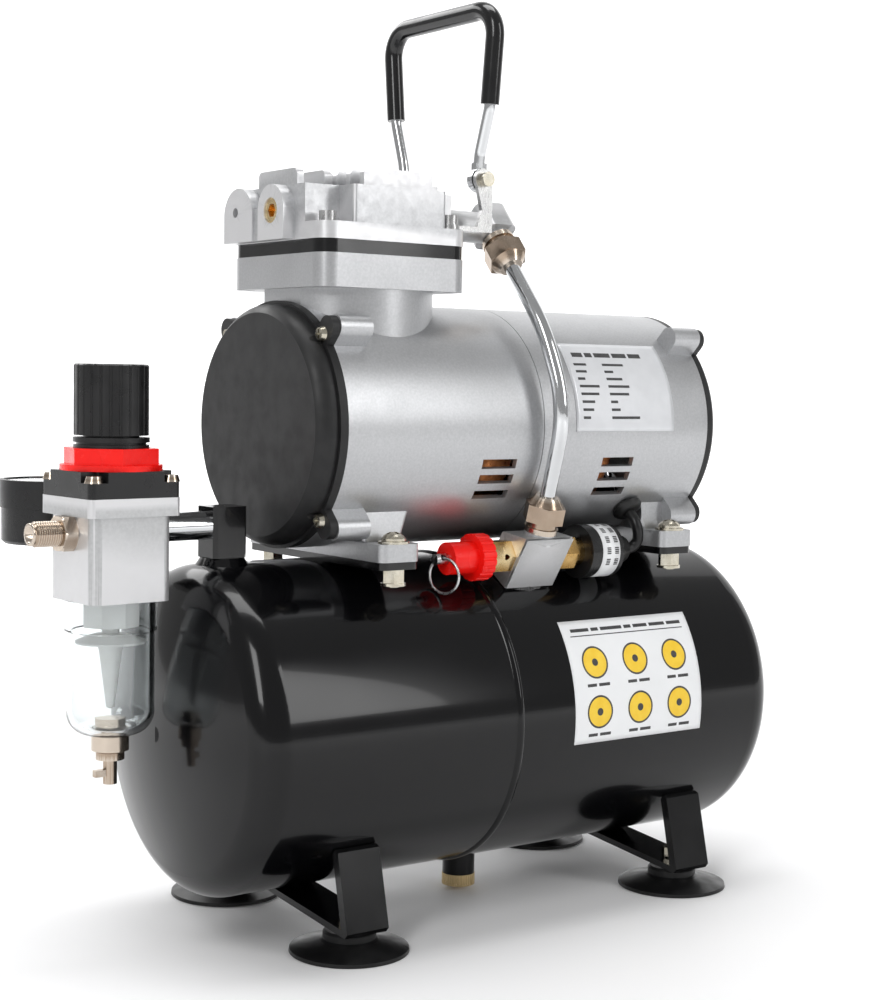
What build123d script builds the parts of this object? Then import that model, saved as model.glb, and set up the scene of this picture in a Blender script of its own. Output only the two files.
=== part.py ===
"""Airbrush compressor: oil-free piston pump and motor on a three-litre tank.

Frame: origin on the floor under the middle of the machine, +Z up, +X along the tank from the
regulator end to the fan end, -Y towards the safety valve side. Millimetres throughout.
"""
from build123d import *
from math import cos, hypot, radians, sin, sqrt
import os

os.makedirs("parts", exist_ok=True)

# Tank
TANK_RADIUS = 66.4
TANK_Z = 83.4
TANK_LEFT = -116.5
TANK_RIGHT = 171.3
TANK_WALL = 1.6
HEAD_KNUCKLE = 14.0
HEAD_CROWN = 180.0
SEAM_X = 12.2
TANK_TOP = TANK_Z + TANK_RADIUS
TANK_BOTTOM = TANK_Z - TANK_RADIUS
DRAIN_X = 33.6

# Feet
FOOT_X = (-56.2, 116.8)
FOOT_Y = 48.7
FOOT_RADIUS = 23.8
STRAP_WIDTH = 19.5
STRAP_THICK = 2.5

# Motor and its mounting
MOTOR_Z = 204.9
MOTOR_RADIUS = 50.1
MOTOR_WALL = 2.5
MOTOR_FRONT = -60.3
MOTOR_SEAM = 37.0
MOTOR_REAR = 130.7
BORE_RADIUS = MOTOR_RADIUS - MOTOR_WALL
EAR_RADIUS = 4.8
EAR_PITCH = 51.4
LUG_X = (-35.8, 112.9)
LUG_WIDTH = 19.0
LUG_REACH = 51.7
LUG_BOTTOM = 152.3
LUG_TOP = 159.4
BOLT_Y = 46.0
BRACKET_BOTTOM = 149.2
SHAFT_RADIUS = 4.0
BEARING_RADIUS = 11.0
BEARING_WIDTH = 7.0
BEARING_X = (-5.0, 97.0)
FIT = 0.05

# Pump
HEAD_X = -28.4
HEAD_HALF = 35.6
FLANGE_BOTTOM = 259.9
FLANGE_TOP = 273.2
PLATE_TOP = 278.6
LEDGE_Z = 285.4
COVER_TOP = 300.5
FIN_TOP = 308.0
NECK_RADIUS = 34.8
LINER_BORE = 19.0
LINER_RADIUS = 21.0
CRANK_THROW = 4.0
ECCENTRIC_RADIUS = 9.5
SCREW_INSET = 6.0

# Carrying handle
HINGE_X = 17.7
HINGE_Z = 307.1
HANDLE_TOP = 380.4
TAB_Y = 30.2
KNEE_Y = 33.6
KNEE_Z = 336.0
GRIP_Y = 37.6
GRIP_Z = HANDLE_TOP - 3.9
GRIP_BEND = 11.0
HEAD_CORNER = 7.0
PIN_RADIUS = 2.5

# Delivery line and manifold
DELIVERY_X = 35.6
MANIFOLD_LEFT = 25.7
MANIFOLD_RIGHT = 50.6
PORT_Y = -39.8
PORT_Z = 151.3

# Regulator, turned a little about the tank port it is screwed on
PORT_X = -87.2
REGULATOR_YAW = 3.2
REGULATOR_OFFSET = -50.0
OUTLET_Z = 164.6
THREAD_RADIUS = 4.85
OUTLET_TIP = -84.2
GAUGE_OFFSET = 48.5
GAUGE_RADIUS = 20.4

CENTRE_LOW = (Align.CENTER, Align.CENTER, Align.MIN)
RING_TANGENT = Vector(0.3, -0.88, 0.36).normalized()
RING_NORMAL = RING_TANGENT.cross(Vector(0, 0, 1)).normalized()
RING_DROP = RING_TANGENT.cross(RING_NORMAL)
TANK_AXIS = Axis((0, 0, TANK_Z), (1, 0, 0))
MOTOR_AXIS = Axis((0, 0, MOTOR_Z), (1, 0, 0))
ELBOW_Y = -12.8
ELBOW_Z = 289.0
TUBE_LEAN = 41.0
UNION_LEAN = 16.0
ELBOW_OUT = (0, -sin(radians(TUBE_LEAN)), -cos(radians(TUBE_LEAN)))
UNION_OUT = (0, -sin(radians(UNION_LEAN)), cos(radians(UNION_LEAN)))
UNION_FOOT = (38.2, -46.6, 160.0)
TUBE_RADIUS = 3.25


def save(piece, label):
    """Name a finished piece and write its file."""
    piece.part.label = label
    export_step(piece.part, f"parts/{label}.step")


def across_x(x, y=0.0, z=0.0):
    """Plane facing +X whose own x runs along Y and own y along Z."""
    return Plane(origin=(x, y, z), x_dir=(0, 1, 0), z_dir=(1, 0, 0))


def side_view(z=0.0, y=0.0, x=0.0):
    """Plane facing -Y whose own x runs along X and own y along Z."""
    return Plane(origin=(x, y, z), x_dir=(1, 0, 0), z_dir=(0, -1, 0))


def regulator_plane(z, along=0.0, across=0.0):
    """Level plane in the regulator's turned frame, measured from the tank port."""
    turn = radians(REGULATOR_YAW)
    x = PORT_X + along * cos(turn) - across * sin(turn)
    y = along * sin(turn) + across * cos(turn)
    return Plane(origin=(x, y, z), x_dir=(cos(turn), sin(turn), 0), z_dir=(0, 0, 1))


def regulator_axis_plane(along, z, across=0.0, flip=1):
    """Upright plane square to the regulator's through axis."""
    base = regulator_plane(z, along, across)
    return Plane(origin=base.origin, x_dir=base.y_dir, z_dir=base.x_dir * flip)


# ---------------------------------------------------------------- tank

def head_curve(apex, inward, wall):
    """Outline of one dished head in the side view, from its apex to the straight shell."""
    ring = TANK_RADIUS - HEAD_KNUCKLE
    reach = HEAD_CROWN - HEAD_KNUCKLE
    depth_in = sqrt(reach ** 2 - ring ** 2)
    crown = HEAD_CROWN - wall
    knuckle = HEAD_KNUCKLE - wall
    centre_x = apex + inward * HEAD_CROWN
    knuckle_x = centre_x - inward * depth_in
    lean = ring / reach
    half = sqrt((1 - sqrt(1 - lean ** 2)) / 2)
    crown_mid = (centre_x - inward * crown * sqrt(1 - half ** 2), crown * half)
    joint = (centre_x - inward * crown * depth_in / reach, crown * lean)
    turn_x = -inward * depth_in / reach
    turn_r = lean + 1
    size = hypot(turn_x, turn_r)
    knuckle_mid = (knuckle_x + knuckle * turn_x / size, ring + knuckle * turn_r / size)
    end = (knuckle_x, ring + knuckle)
    return (apex + inward * wall, 0), crown_mid, joint, knuckle_mid, end


def tank_shell(apex, inward):
    """Dished head and straight shell up to the welded seam, drawn into the open part."""
    with BuildSketch(side_view(TANK_Z)) as outline:
        with BuildLine():
            outer = head_curve(apex, inward, 0.0)
            inner = head_curve(apex, inward, TANK_WALL)
            ThreePointArc(*outer[0:3])
            ThreePointArc(*outer[2:5])
            Polyline(outer[4], (SEAM_X, TANK_RADIUS), (SEAM_X, TANK_RADIUS - TANK_WALL), inner[4])
            ThreePointArc(inner[4], inner[3], inner[2])
            ThreePointArc(inner[2], inner[1], inner[0])
            Line(inner[0], outer[0])
        make_face()
    revolve(outline.sketch, axis=TANK_AXIS)


def manifold_plane(x, out=0.0):
    """Plane square to the leaning manifold's own axis, a distance out from the tank's axis."""
    y = -sin(radians(30.3)) * out
    z = TANK_Z + cos(radians(30.3)) * out
    return Plane(origin=(x, y, z), x_dir=(1, 0, 0), z_dir=(0, -sin(radians(30.3)), cos(radians(30.3))))


def make_tank():
    """Two pressed halves; the ports are welded to the half they stand on."""
    boss_top = 152.3
    with BuildPart() as left_half:
        tank_shell(TANK_LEFT, 1)
        with BuildSketch(Plane.XY.offset(TANK_TOP - 1.2)):
            with Locations((PORT_X, 0)):
                Circle(11.2)
        with BuildSketch(Plane.XY.offset(boss_top)):
            with Locations((PORT_X, 0)):
                Circle(8.7)
        loft()
        with Locations((PORT_X, 0, TANK_TOP - 6)):
            Cylinder(5.0, 12, align=CENTRE_LOW, mode=Mode.SUBTRACT)
    save(left_half, "tank_left_half")

    with BuildPart() as right_half:
        tank_shell(TANK_RIGHT, -1)
        with BuildSketch(side_view(TANK_Z)):
            with BuildLine():
                bead = Line((SEAM_X, TANK_RADIUS - 0.4), (SEAM_X + 4.4, TANK_RADIUS - 0.4))
                ThreePointArc(bead @ 0, (SEAM_X + 2.2, TANK_RADIUS + 0.9), bead @ 1)
            make_face()
        revolve(axis=TANK_AXIS)
        with Locations((DRAIN_X, 0, 6.8)):
            Cylinder(7.1, TANK_BOTTOM - 6.0, align=CENTRE_LOW)
        with Locations((DRAIN_X, 0, 0)):
            Cylinder(3.0, 20, align=CENTRE_LOW, mode=Mode.SUBTRACT)
        middle = (MANIFOLD_LEFT + MANIFOLD_RIGHT) / 2
        with Locations(manifold_plane(middle, TANK_RADIUS - 4)):
            Cylinder(4.5, 9, align=CENTRE_LOW, mode=Mode.SUBTRACT)
    save(right_half, "tank_right_half")


def make_drain():
    """Knurled brass drain screw under the tank."""
    head_radius = 7.3
    with BuildPart() as drain:
        with BuildSketch(Plane.XY.offset(1.6)):
            with Locations((DRAIN_X, 0)):
                Circle(head_radius)
                with PolarLocations(head_radius, 40):
                    Circle(0.35, mode=Mode.SUBTRACT)
        extrude(amount=5.0)
        with Locations((DRAIN_X, 0, 6.6)):
            Cylinder(3.0 - FIT, 9.5, align=CENTRE_LOW)
    save(drain, "drain_screw")


# ---------------------------------------------------------------- feet

def make_straps():
    """Flat steel straps: under the tank, out past each foot and back up to the shell."""
    with BuildPart() as straps:
        for x in FOOT_X:
            with BuildSketch(across_x(x - STRAP_WIDTH / 2)):
                for sign in (-1, 1):
                    with BuildLine():
                        Polyline(
                            (0, TANK_BOTTOM - 0.1), (sign * 57.6, 11.6), (sign * 50.9, 39.9),
                            (sign * 52.3, 41.9), (sign * 54.6, 41.0), (sign * 61.9, 10.6),
                            (sign * 60.2, 8.6), (0, TANK_BOTTOM - 0.1 - STRAP_THICK), close=True)
                    make_face()
            extrude(amount=STRAP_WIDTH)
            with Locations((x, -FOOT_Y, 0), (x, FOOT_Y, 0)):
                Cylinder(2.6, 30, align=CENTRE_LOW, mode=Mode.SUBTRACT)
    save(straps, "foot_straps")


def make_feet():
    """Rubber suction cups on threaded studs, with their nuts above the straps."""
    with BuildPart() as feet:
        for x in FOOT_X:
            for y in (-FOOT_Y, FOOT_Y):
                with BuildSketch(side_view(0, y, x)):
                    with BuildLine():
                        Polyline((0, 9.2), (0, 2.6), (9.0, 2.2), (17.5, 0.9), (20.5, 0))
                        Polyline((20.5, 0), (FOOT_RADIUS, 0), (FOOT_RADIUS - 0.2, 1.4))
                        ThreePointArc((FOOT_RADIUS - 0.2, 1.4), (17.0, 3.4), (11.8, 4.6))
                        Polyline((11.8, 4.6), (10.6, 5.2), (10.6, 7.6), (9.8, 8.6), (5, 8.6))
                        Polyline((5, 8.6), (5, 9.2), (0, 9.2))
                    make_face()
                revolve(axis=Axis((x, y, 0), (0, 0, 1)))
        with Locations((sum(FOOT_X) / 2, 0, 7.0)):
            with GridLocations(FOOT_X[1] - FOOT_X[0], 2 * FOOT_Y, 2, 2):
                Cylinder(2.5 + FIT, 3, align=CENTRE_LOW, mode=Mode.SUBTRACT)
    save(feet, "suction_feet")

    nut_seat = 12.95
    with BuildPart() as nuts:
        with Locations((sum(FOOT_X) / 2, 0, 0)):
            with GridLocations(FOOT_X[1] - FOOT_X[0], 2 * FOOT_Y, 2, 2):
                with Locations((0, 0, 7.1)):
                    Cylinder(2.5, 12.0, align=CENTRE_LOW)
        with BuildSketch(Plane.XY.offset(nut_seat)):
            with Locations((sum(FOOT_X) / 2, 0)):
                with GridLocations(FOOT_X[1] - FOOT_X[0], 2 * FOOT_Y, 2, 2):
                    RegularPolygon(4.6, 6)
        extrude(amount=4.0)
    save(nuts, "foot_nuts")


# ---------------------------------------------------------------- motor mounting

def make_brackets():
    """Black saddle plates welded across the top of the tank."""
    with BuildPart() as brackets:
        for x in LUG_X:
            with BuildSketch(Plane.XY.offset(BRACKET_BOTTOM)):
                with Locations((x, 0)):
                    RectangleRounded(LUG_WIDTH - 1.0, 2 * LUG_REACH - 1.0, 3.0)
                with Locations((x, -BOLT_Y), (x, BOLT_Y)):
                    Circle(2.7, mode=Mode.SUBTRACT)
            extrude(amount=LUG_BOTTOM - BRACKET_BOTTOM)
        with BuildSketch(across_x(LUG_X[0] - LUG_WIDTH, 0, TANK_Z)):
            Circle(TANK_RADIUS + 0.02)
        extrude(amount=LUG_X[1] - LUG_X[0] + 2 * LUG_WIDTH, mode=Mode.SUBTRACT)
    save(brackets, "motor_brackets")


def make_mount_bolts():
    """Pan-head bolts with washers through the motor's lugs, and flanged nuts below."""
    with BuildPart() as bolts:
        for x in LUG_X:
            for y in (-BOLT_Y, BOLT_Y):
                with BuildSketch(side_view(LUG_TOP, y, x)):
                    with BuildLine():
                        Polyline((0, 0), (6.4, 0), (6.4, 0.9), (4.9, 0.9), (4.9, 2.0))
                        ThreePointArc((4.9, 2.0), (3.0, 3.9), (0, 4.5))
                        Line((0, 4.5), (0, 0))
                    make_face()
                revolve(axis=Axis((x, y, 0), (0, 0, 1)))
                with Locations((x, y, 142.0)):
                    Cylinder(2.4, LUG_TOP - 141.9, align=CENTRE_LOW)
                with Locations((x, y, LUG_TOP + 3.0)):
                    Box(6.2, 1.1, 3, align=CENTRE_LOW, mode=Mode.SUBTRACT)
                    Box(1.1, 6.2, 3, align=CENTRE_LOW, mode=Mode.SUBTRACT)
                with BuildSketch(Plane.XY.offset(143.4)):
                    with Locations((x, y)):
                        RegularPolygon(4.7, 6)
                extrude(amount=BRACKET_BOTTOM - 143.4)
                with Locations((x, y, 142.6)):
                    Cylinder(5.1, 1.1, align=CENTRE_LOW)
    save(bolts, "motor_mount_bolts")


# ---------------------------------------------------------------- motor

def ear_pads(x, length, radius=EAR_RADIUS):
    """Four screw bosses at the corners of a housing, added to the open part."""
    with BuildSketch(across_x(x, 0, MOTOR_Z)) as pads:
        with PolarLocations(EAR_PITCH - 0.4, 4, 45):
            SlotOverall(2 * radius + 9, 2 * radius)
    extrude(pads.sketch, amount=length)


def mount_lugs(x):
    """Cross bar with two bolt lugs and their webs, added to the open part."""
    with BuildSketch(Plane.XY.offset(LUG_BOTTOM)) as bar:
        with Locations((x, 0)):
            RectangleRounded(LUG_WIDTH, 2 * LUG_REACH, 3.5)
    extrude(bar.sketch, amount=LUG_TOP - LUG_BOTTOM)
    skirt_top = 171.5
    with BuildSketch(Plane.XY.offset(LUG_TOP - 1.0)) as foot:
        with Locations((x, 0)):
            RectangleRounded(LUG_WIDTH - 2.0, 77.0, 2.0)
    with BuildSketch(Plane.XY.offset(skirt_top)) as waist:
        with Locations((x, 0)):
            RectangleRounded(LUG_WIDTH + 9.0, 74.0, 2.0)
    loft([foot.sketch, waist.sketch])


def vent_slots(x):
    """Three cooling slots low on each side of the barrel, cut from the open part."""
    for angle in (-17.2, -25.0, -33.6):
        for side in (0, 180):
            reach = 180 - angle if side else angle
            direction = (0, -cos(radians(reach)), sin(radians(reach)))
            mouth = Plane(origin=(x, 0, MOTOR_Z), x_dir=(1, 0, 0), z_dir=direction)
            with BuildSketch(mouth.offset(BORE_RADIUS - 3)) as slot:
                Rectangle(17.6, 4.1)
            extrude(slot.sketch, amount=8, mode=Mode.SUBTRACT)


def bolt_holes(x):
    """Holes for the mounting bolts, cut from the open part."""
    with Locations((x, -BOLT_Y, LUG_BOTTOM - 1), (x, BOLT_Y, LUG_BOTTOM - 1)):
        Cylinder(2.6, 20, align=CENTRE_LOW, mode=Mode.SUBTRACT)


def make_front_housing():
    """Crankcase, cylinder neck with its square flange, and the front half of the barrel."""
    partition = BEARING_X[0] - 2.0
    with BuildPart() as housing:
        with BuildSketch(across_x(MOTOR_FRONT, 0, MOTOR_Z)):
            Circle(MOTOR_RADIUS)
        extrude(amount=MOTOR_SEAM - MOTOR_FRONT - 0.3)
        ear_pads(MOTOR_FRONT, 15)
        mount_lugs(LUG_X[0])
        with BuildSketch(Plane.XY.offset(MOTOR_Z + 20)):
            with Locations((HEAD_X, 0)):
                Circle(NECK_RADIUS)
        extrude(amount=FLANGE_BOTTOM - MOTOR_Z - 20)
        with Locations((MOTOR_FRONT, 0, MOTOR_Z)):
            Box(20, 90, 60, align=(Align.MAX, Align.CENTER, Align.MIN), mode=Mode.SUBTRACT)
        with BuildSketch(Plane.XY.offset(FLANGE_BOTTOM)):
            with Locations((HEAD_X, 0)):
                RectangleRounded(2 * HEAD_HALF, 2 * HEAD_HALF, HEAD_CORNER)
        extrude(amount=FLANGE_TOP - FLANGE_BOTTOM)
        with BuildSketch(across_x(MOTOR_FRONT, 0, MOTOR_Z)):
            Circle(BORE_RADIUS)
        extrude(amount=partition - MOTOR_FRONT, mode=Mode.SUBTRACT)
        with BuildSketch(across_x(BEARING_X[0] + BEARING_WIDTH, 0, MOTOR_Z)):
            Circle(BORE_RADIUS)
        extrude(amount=60, mode=Mode.SUBTRACT)
        with BuildSketch(across_x(BEARING_X[0], 0, MOTOR_Z)):
            Circle(BEARING_RADIUS + FIT)
        extrude(amount=BEARING_WIDTH + 1, mode=Mode.SUBTRACT)
        with BuildSketch(across_x(partition - 1, 0, MOTOR_Z)):
            Circle(BEARING_RADIUS - 3)
        extrude(amount=6, mode=Mode.SUBTRACT)
        with BuildSketch(Plane.XY.offset(MOTOR_Z)):
            with Locations((HEAD_X, 0)):
                Circle(LINER_RADIUS + FIT)
        extrude(amount=80, mode=Mode.SUBTRACT)
        vent_slots(15.2)
        bolt_holes(LUG_X[0])
        ear_holes(MOTOR_FRONT - 1, 14)
        head_screw_holes(FLANGE_BOTTOM, FLANGE_TOP)
    save(housing, "front_housing")


def ear_holes(x, length, radius=1.6):
    """Holes for the four cap screws, cut from the open part."""
    with BuildSketch(across_x(x, 0, MOTOR_Z)) as holes:
        with PolarLocations(EAR_PITCH, 4, 45):
            Circle(radius)
    extrude(holes.sketch, amount=length, mode=Mode.SUBTRACT)


def head_screw_holes(low, high, radius=2.1):
    """Holes for the four cylinder-head screws, cut from the open part."""
    with BuildSketch(Plane.XY.offset(low)) as holes:
        with Locations((HEAD_X, 0)):
            with GridLocations(2 * (HEAD_HALF - SCREW_INSET), 2 * (HEAD_HALF - SCREW_INSET), 2, 2):
                Circle(radius)
    extrude(holes.sketch, amount=high - low, mode=Mode.SUBTRACT)


def make_rear_housing():
    """Rear half of the barrel with the fan end's bearing bridge."""
    with BuildPart() as housing:
        with BuildSketch(across_x(MOTOR_SEAM, 0, MOTOR_Z)):
            Circle(MOTOR_RADIUS)
            Circle(BORE_RADIUS, mode=Mode.SUBTRACT)
        extrude(amount=MOTOR_REAR - MOTOR_SEAM)
        ear_pads(MOTOR_REAR - 15, 15)
        mount_lugs(LUG_X[1])
        with BuildSketch(across_x(MOTOR_SEAM, 0, MOTOR_Z)):
            Circle(BORE_RADIUS)
        extrude(amount=MOTOR_REAR - MOTOR_SEAM, mode=Mode.SUBTRACT)
        with BuildSketch(across_x(BEARING_X[1] - 2, 0, MOTOR_Z)):
            Circle(BEARING_RADIUS + 4)
            with PolarLocations(BORE_RADIUS / 2 + 1, 3, 90):
                Rectangle(BORE_RADIUS, 9)
            Circle(BEARING_RADIUS + FIT, mode=Mode.SUBTRACT)
        extrude(amount=BEARING_WIDTH + 2)
        vent_slots(79.7)
        bolt_holes(LUG_X[1])
        ear_holes(MOTOR_REAR - 13, 14)
        with Locations(grommet_plane(BORE_RADIUS - 6)):
            Cylinder(3.6, 10, align=CENTRE_LOW, mode=Mode.SUBTRACT)
        with Locations(grommet_plane(MOTOR_RADIUS)):
            Cylinder(7.4, 14, align=CENTRE_LOW, mode=Mode.SUBTRACT)
    save(housing, "rear_housing")


def make_front_cap():
    """Black crankcase cover with a rounded shoulder, a groove and four ears."""
    face_x = MOTOR_FRONT - 12.0
    with BuildPart() as cap:
        with BuildSketch(side_view(MOTOR_Z)):
            with BuildLine():
                Polyline((MOTOR_FRONT, MOTOR_RADIUS), (MOTOR_FRONT - 3.6, MOTOR_RADIUS),
                         (MOTOR_FRONT - 3.6, MOTOR_RADIUS - 1.4), (MOTOR_FRONT - 5.0, MOTOR_RADIUS - 1.4))
                ThreePointArc((MOTOR_FRONT - 5.0, MOTOR_RADIUS - 1.4), (face_x + 2.1, 47.2), (face_x, 45.0))
                Polyline((face_x, 45.0), (face_x, 0), (face_x + 2.2, 0), (face_x + 2.2, 44.0),
                         (MOTOR_FRONT, 46.4), (MOTOR_FRONT, MOTOR_RADIUS))
            make_face()
        revolve(axis=MOTOR_AXIS)
        with BuildSketch(across_x(MOTOR_FRONT - 3.6, 0, MOTOR_Z)):
            with PolarLocations(EAR_PITCH - 0.6, 4, 45):
                SlotOverall(2 * EAR_RADIUS + 8, 2 * EAR_RADIUS)
            Circle(46.4, mode=Mode.SUBTRACT)
        extrude(amount=3.6)
        ear_holes(MOTOR_FRONT - 5, 6)
        ear_holes(MOTOR_FRONT - 13.6, 10, 3.3)
    save(cap, "front_cap")


def make_rear_cap():
    """Black fan cover, slightly domed, with slots for the cooling air."""
    end_x = MOTOR_REAR + 7.2
    with BuildPart() as cap:
        with BuildSketch(side_view(MOTOR_Z)):
            with BuildLine():
                Polyline((MOTOR_REAR, 46.0), (MOTOR_REAR, MOTOR_RADIUS), (MOTOR_REAR + 3.0, MOTOR_RADIUS))
                ThreePointArc((MOTOR_REAR + 3.0, MOTOR_RADIUS), (MOTOR_REAR + 5.4, 48.2), (end_x - 0.8, 43.5))
                ThreePointArc((end_x - 0.8, 43.5), (end_x - 0.2, 22), (end_x, 0))
                Polyline((end_x, 0), (end_x - 2.2, 0), (end_x - 2.8, 42.5), (MOTOR_REAR, 46.0))
            make_face()
        revolve(axis=MOTOR_AXIS)
        with BuildSketch(across_x(MOTOR_REAR, 0, MOTOR_Z)):
            with PolarLocations(EAR_PITCH - 0.6, 4, 45):
                SlotOverall(2 * EAR_RADIUS + 8, 2 * EAR_RADIUS)
            Circle(45.9, mode=Mode.SUBTRACT)
        extrude(amount=3.0)
        with BuildSketch(across_x(MOTOR_REAR + 1, 0, MOTOR_Z)):
            for ring, count in ((13.0, 6), (23.0, 10), (33.0, 14)):
                with PolarLocations(ring, count):
                    SlotOverall(8.2, 3.0, rotation=90)
        extrude(amount=12, mode=Mode.SUBTRACT)
        ear_holes(MOTOR_REAR - 1, 6)
        ear_holes(MOTOR_REAR + 3.0, 10, 3.3)
    save(cap, "rear_cap")


def make_cap_screws():
    """Cross-recess pan screws that hold both caps."""
    with BuildPart() as screws:
        for seat, out in ((MOTOR_FRONT - 3.6, -1), (MOTOR_REAR + 3.0, 1)):
            for corner in range(4):
                angle = radians(45 + 90 * corner)
                y = EAR_PITCH * cos(angle)
                z = MOTOR_Z + EAR_PITCH * sin(angle)
                face = Plane(origin=(seat, y, z), x_dir=(0, 1, 0), z_dir=(out, 0, 0))
                with BuildSketch(face):
                    Circle(3.1)
                extrude(amount=2.0, taper=18)
                with BuildSketch(face):
                    Circle(1.5)
                extrude(amount=-14)
                with BuildSketch(face.offset(1.0)):
                    Rectangle(3.6, 0.8)
                    Rectangle(0.8, 3.6)
                extrude(amount=2, mode=Mode.SUBTRACT)
    save(screws, "cap_screws")


def make_stator():
    """Laminated stator core, and the copper coils that show through the cooling slots."""
    with BuildPart() as core:
        with BuildSketch(across_x(30, 0, MOTOR_Z)):
            Circle(BORE_RADIUS - FIT)
            Circle(27.3, mode=Mode.SUBTRACT)
            with PolarLocations(34.0, 16):
                Rectangle(9.0, 4.6, mode=Mode.SUBTRACT)
        extrude(amount=38)
    save(core, "stator_core")

    with BuildPart() as coils:
        for low, high in ((13, 29.8), (68.2, 85)):
            with BuildSketch(side_view(MOTOR_Z)):
                with Locations(((low + high) / 2, 36.5)):
                    RectangleRounded(high - low, 11.5, 4.5)
            revolve(axis=MOTOR_AXIS)
        with BuildSketch(across_x(29.0, 0, MOTOR_Z)):
            with PolarLocations(34.0, 16):
                Rectangle(8.4, 4.0)
        extrude(amount=40)
    save(coils, "stator_coils")


def make_rotating_group():
    """Shaft, rotor, fan and crank eccentric, which turn together."""
    with BuildPart() as shaft:
        with BuildSketch(across_x(-36, 0, MOTOR_Z)):
            Circle(SHAFT_RADIUS)
        extrude(amount=159)
        chamfer(shaft.edges().filter_by(GeomType.CIRCLE), 0.5)
    save(shaft, "motor_shaft")

    with BuildPart() as rotor:
        with BuildSketch(across_x(30, 0, MOTOR_Z)):
            Circle(27.0)
            Circle(SHAFT_RADIUS + 0.02, mode=Mode.SUBTRACT)
        extrude(amount=38)
        with BuildSketch(across_x(27, 0, MOTOR_Z)):
            Circle(25.5)
            Circle(17.0, mode=Mode.SUBTRACT)
        extrude(amount=44)
    save(rotor, "rotor")

    with BuildPart() as fan:
        with BuildSketch(across_x(109, 0, MOTOR_Z)):
            Circle(11.0)
        extrude(amount=12)
        for blade in range(7):
            turn = radians(360 * blade / 7)
            root = Plane(origin=(115, 9.5 * cos(turn), MOTOR_Z + 9.5 * sin(turn)),
                         x_dir=(0.8, -0.6 * sin(turn), 0.6 * cos(turn)),
                         z_dir=(0, cos(turn), sin(turn)))
            with BuildSketch(root):
                Rectangle(12.5, 1.6)
            extrude(amount=31)
        with BuildSketch(across_x(100, 0, MOTOR_Z)):
            Circle(SHAFT_RADIUS + 0.02)
        extrude(amount=30, mode=Mode.SUBTRACT)
    save(fan, "cooling_fan")

    with BuildPart() as eccentric:
        with BuildSketch(across_x(HEAD_X - 4, 0, MOTOR_Z)):
            with Locations((CRANK_THROW, 0)):
                Circle(ECCENTRIC_RADIUS)
            Circle(SHAFT_RADIUS + 0.02, mode=Mode.SUBTRACT)
        extrude(amount=8)
        with BuildSketch(across_x(HEAD_X + 4, 0, MOTOR_Z)):
            with Locations((-3, 0)):
                Circle(17.0)
            with Locations((16, 0)):
                Rectangle(24, 50, mode=Mode.SUBTRACT)
            Circle(8.0)
            Circle(SHAFT_RADIUS + 0.02, mode=Mode.SUBTRACT)
        extrude(amount=9)
    save(eccentric, "crank_eccentric")


def make_bearings():
    """Two sealed ball bearings on the shaft."""
    with BuildPart() as bearings:
        for x in BEARING_X:
            with BuildSketch(across_x(x, 0, MOTOR_Z)):
                Circle(BEARING_RADIUS)
                Circle(SHAFT_RADIUS + 0.04, mode=Mode.SUBTRACT)
            extrude(amount=BEARING_WIDTH)
            with BuildSketch(across_x(x + BEARING_WIDTH, 0, MOTOR_Z)):
                Circle(9.0)
                Circle(6.0, mode=Mode.SUBTRACT)
            extrude(amount=-0.6, mode=Mode.SUBTRACT)
    save(bearings, "shaft_bearings")


# ---------------------------------------------------------------- pump

def make_piston():
    """Connecting rod made in one with the piston crown, and its cup seal."""
    crown_low = 261.6
    crown_high = 267.4
    ring_bore = ECCENTRIC_RADIUS + 2 * CRANK_THROW + 0.4
    with BuildPart() as rod:
        with BuildSketch(across_x(HEAD_X - 3.5, 0, MOTOR_Z)):
            Circle(ring_bore + 3.2)
            with Locations((0, ring_bore)):
                Rectangle(10, crown_low - MOTOR_Z - ring_bore + 1, align=(Align.CENTER, Align.MIN))
            Circle(ring_bore, mode=Mode.SUBTRACT)
        extrude(amount=7)
        with Locations((HEAD_X, 0, crown_low)):
            Cylinder(LINER_BORE - 0.6, crown_high - crown_low, align=CENTRE_LOW)
    save(rod, "connecting_rod")

    with BuildPart() as seal:
        with BuildSketch(side_view(crown_high, 0, HEAD_X)):
            with BuildLine():
                Polyline((0, 0), (LINER_BORE - 0.06, 0), (LINER_BORE - 0.06, 1.3),
                         (LINER_BORE - 1.0, 1.3), (LINER_BORE - 1.8, 0.8), (0, 0.8), close=True)
            make_face()
        revolve(axis=Axis((HEAD_X, 0, 0), (0, 0, 1)))
    save(seal, "piston_seal")

    with BuildPart() as liner:
        with BuildSketch(Plane.XY.offset(240)):
            with Locations((HEAD_X, 0)):
                Circle(LINER_RADIUS)
                Circle(LINER_BORE, mode=Mode.SUBTRACT)
        extrude(amount=FLANGE_TOP - 240)
    save(liner, "cylinder_liner")


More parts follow.
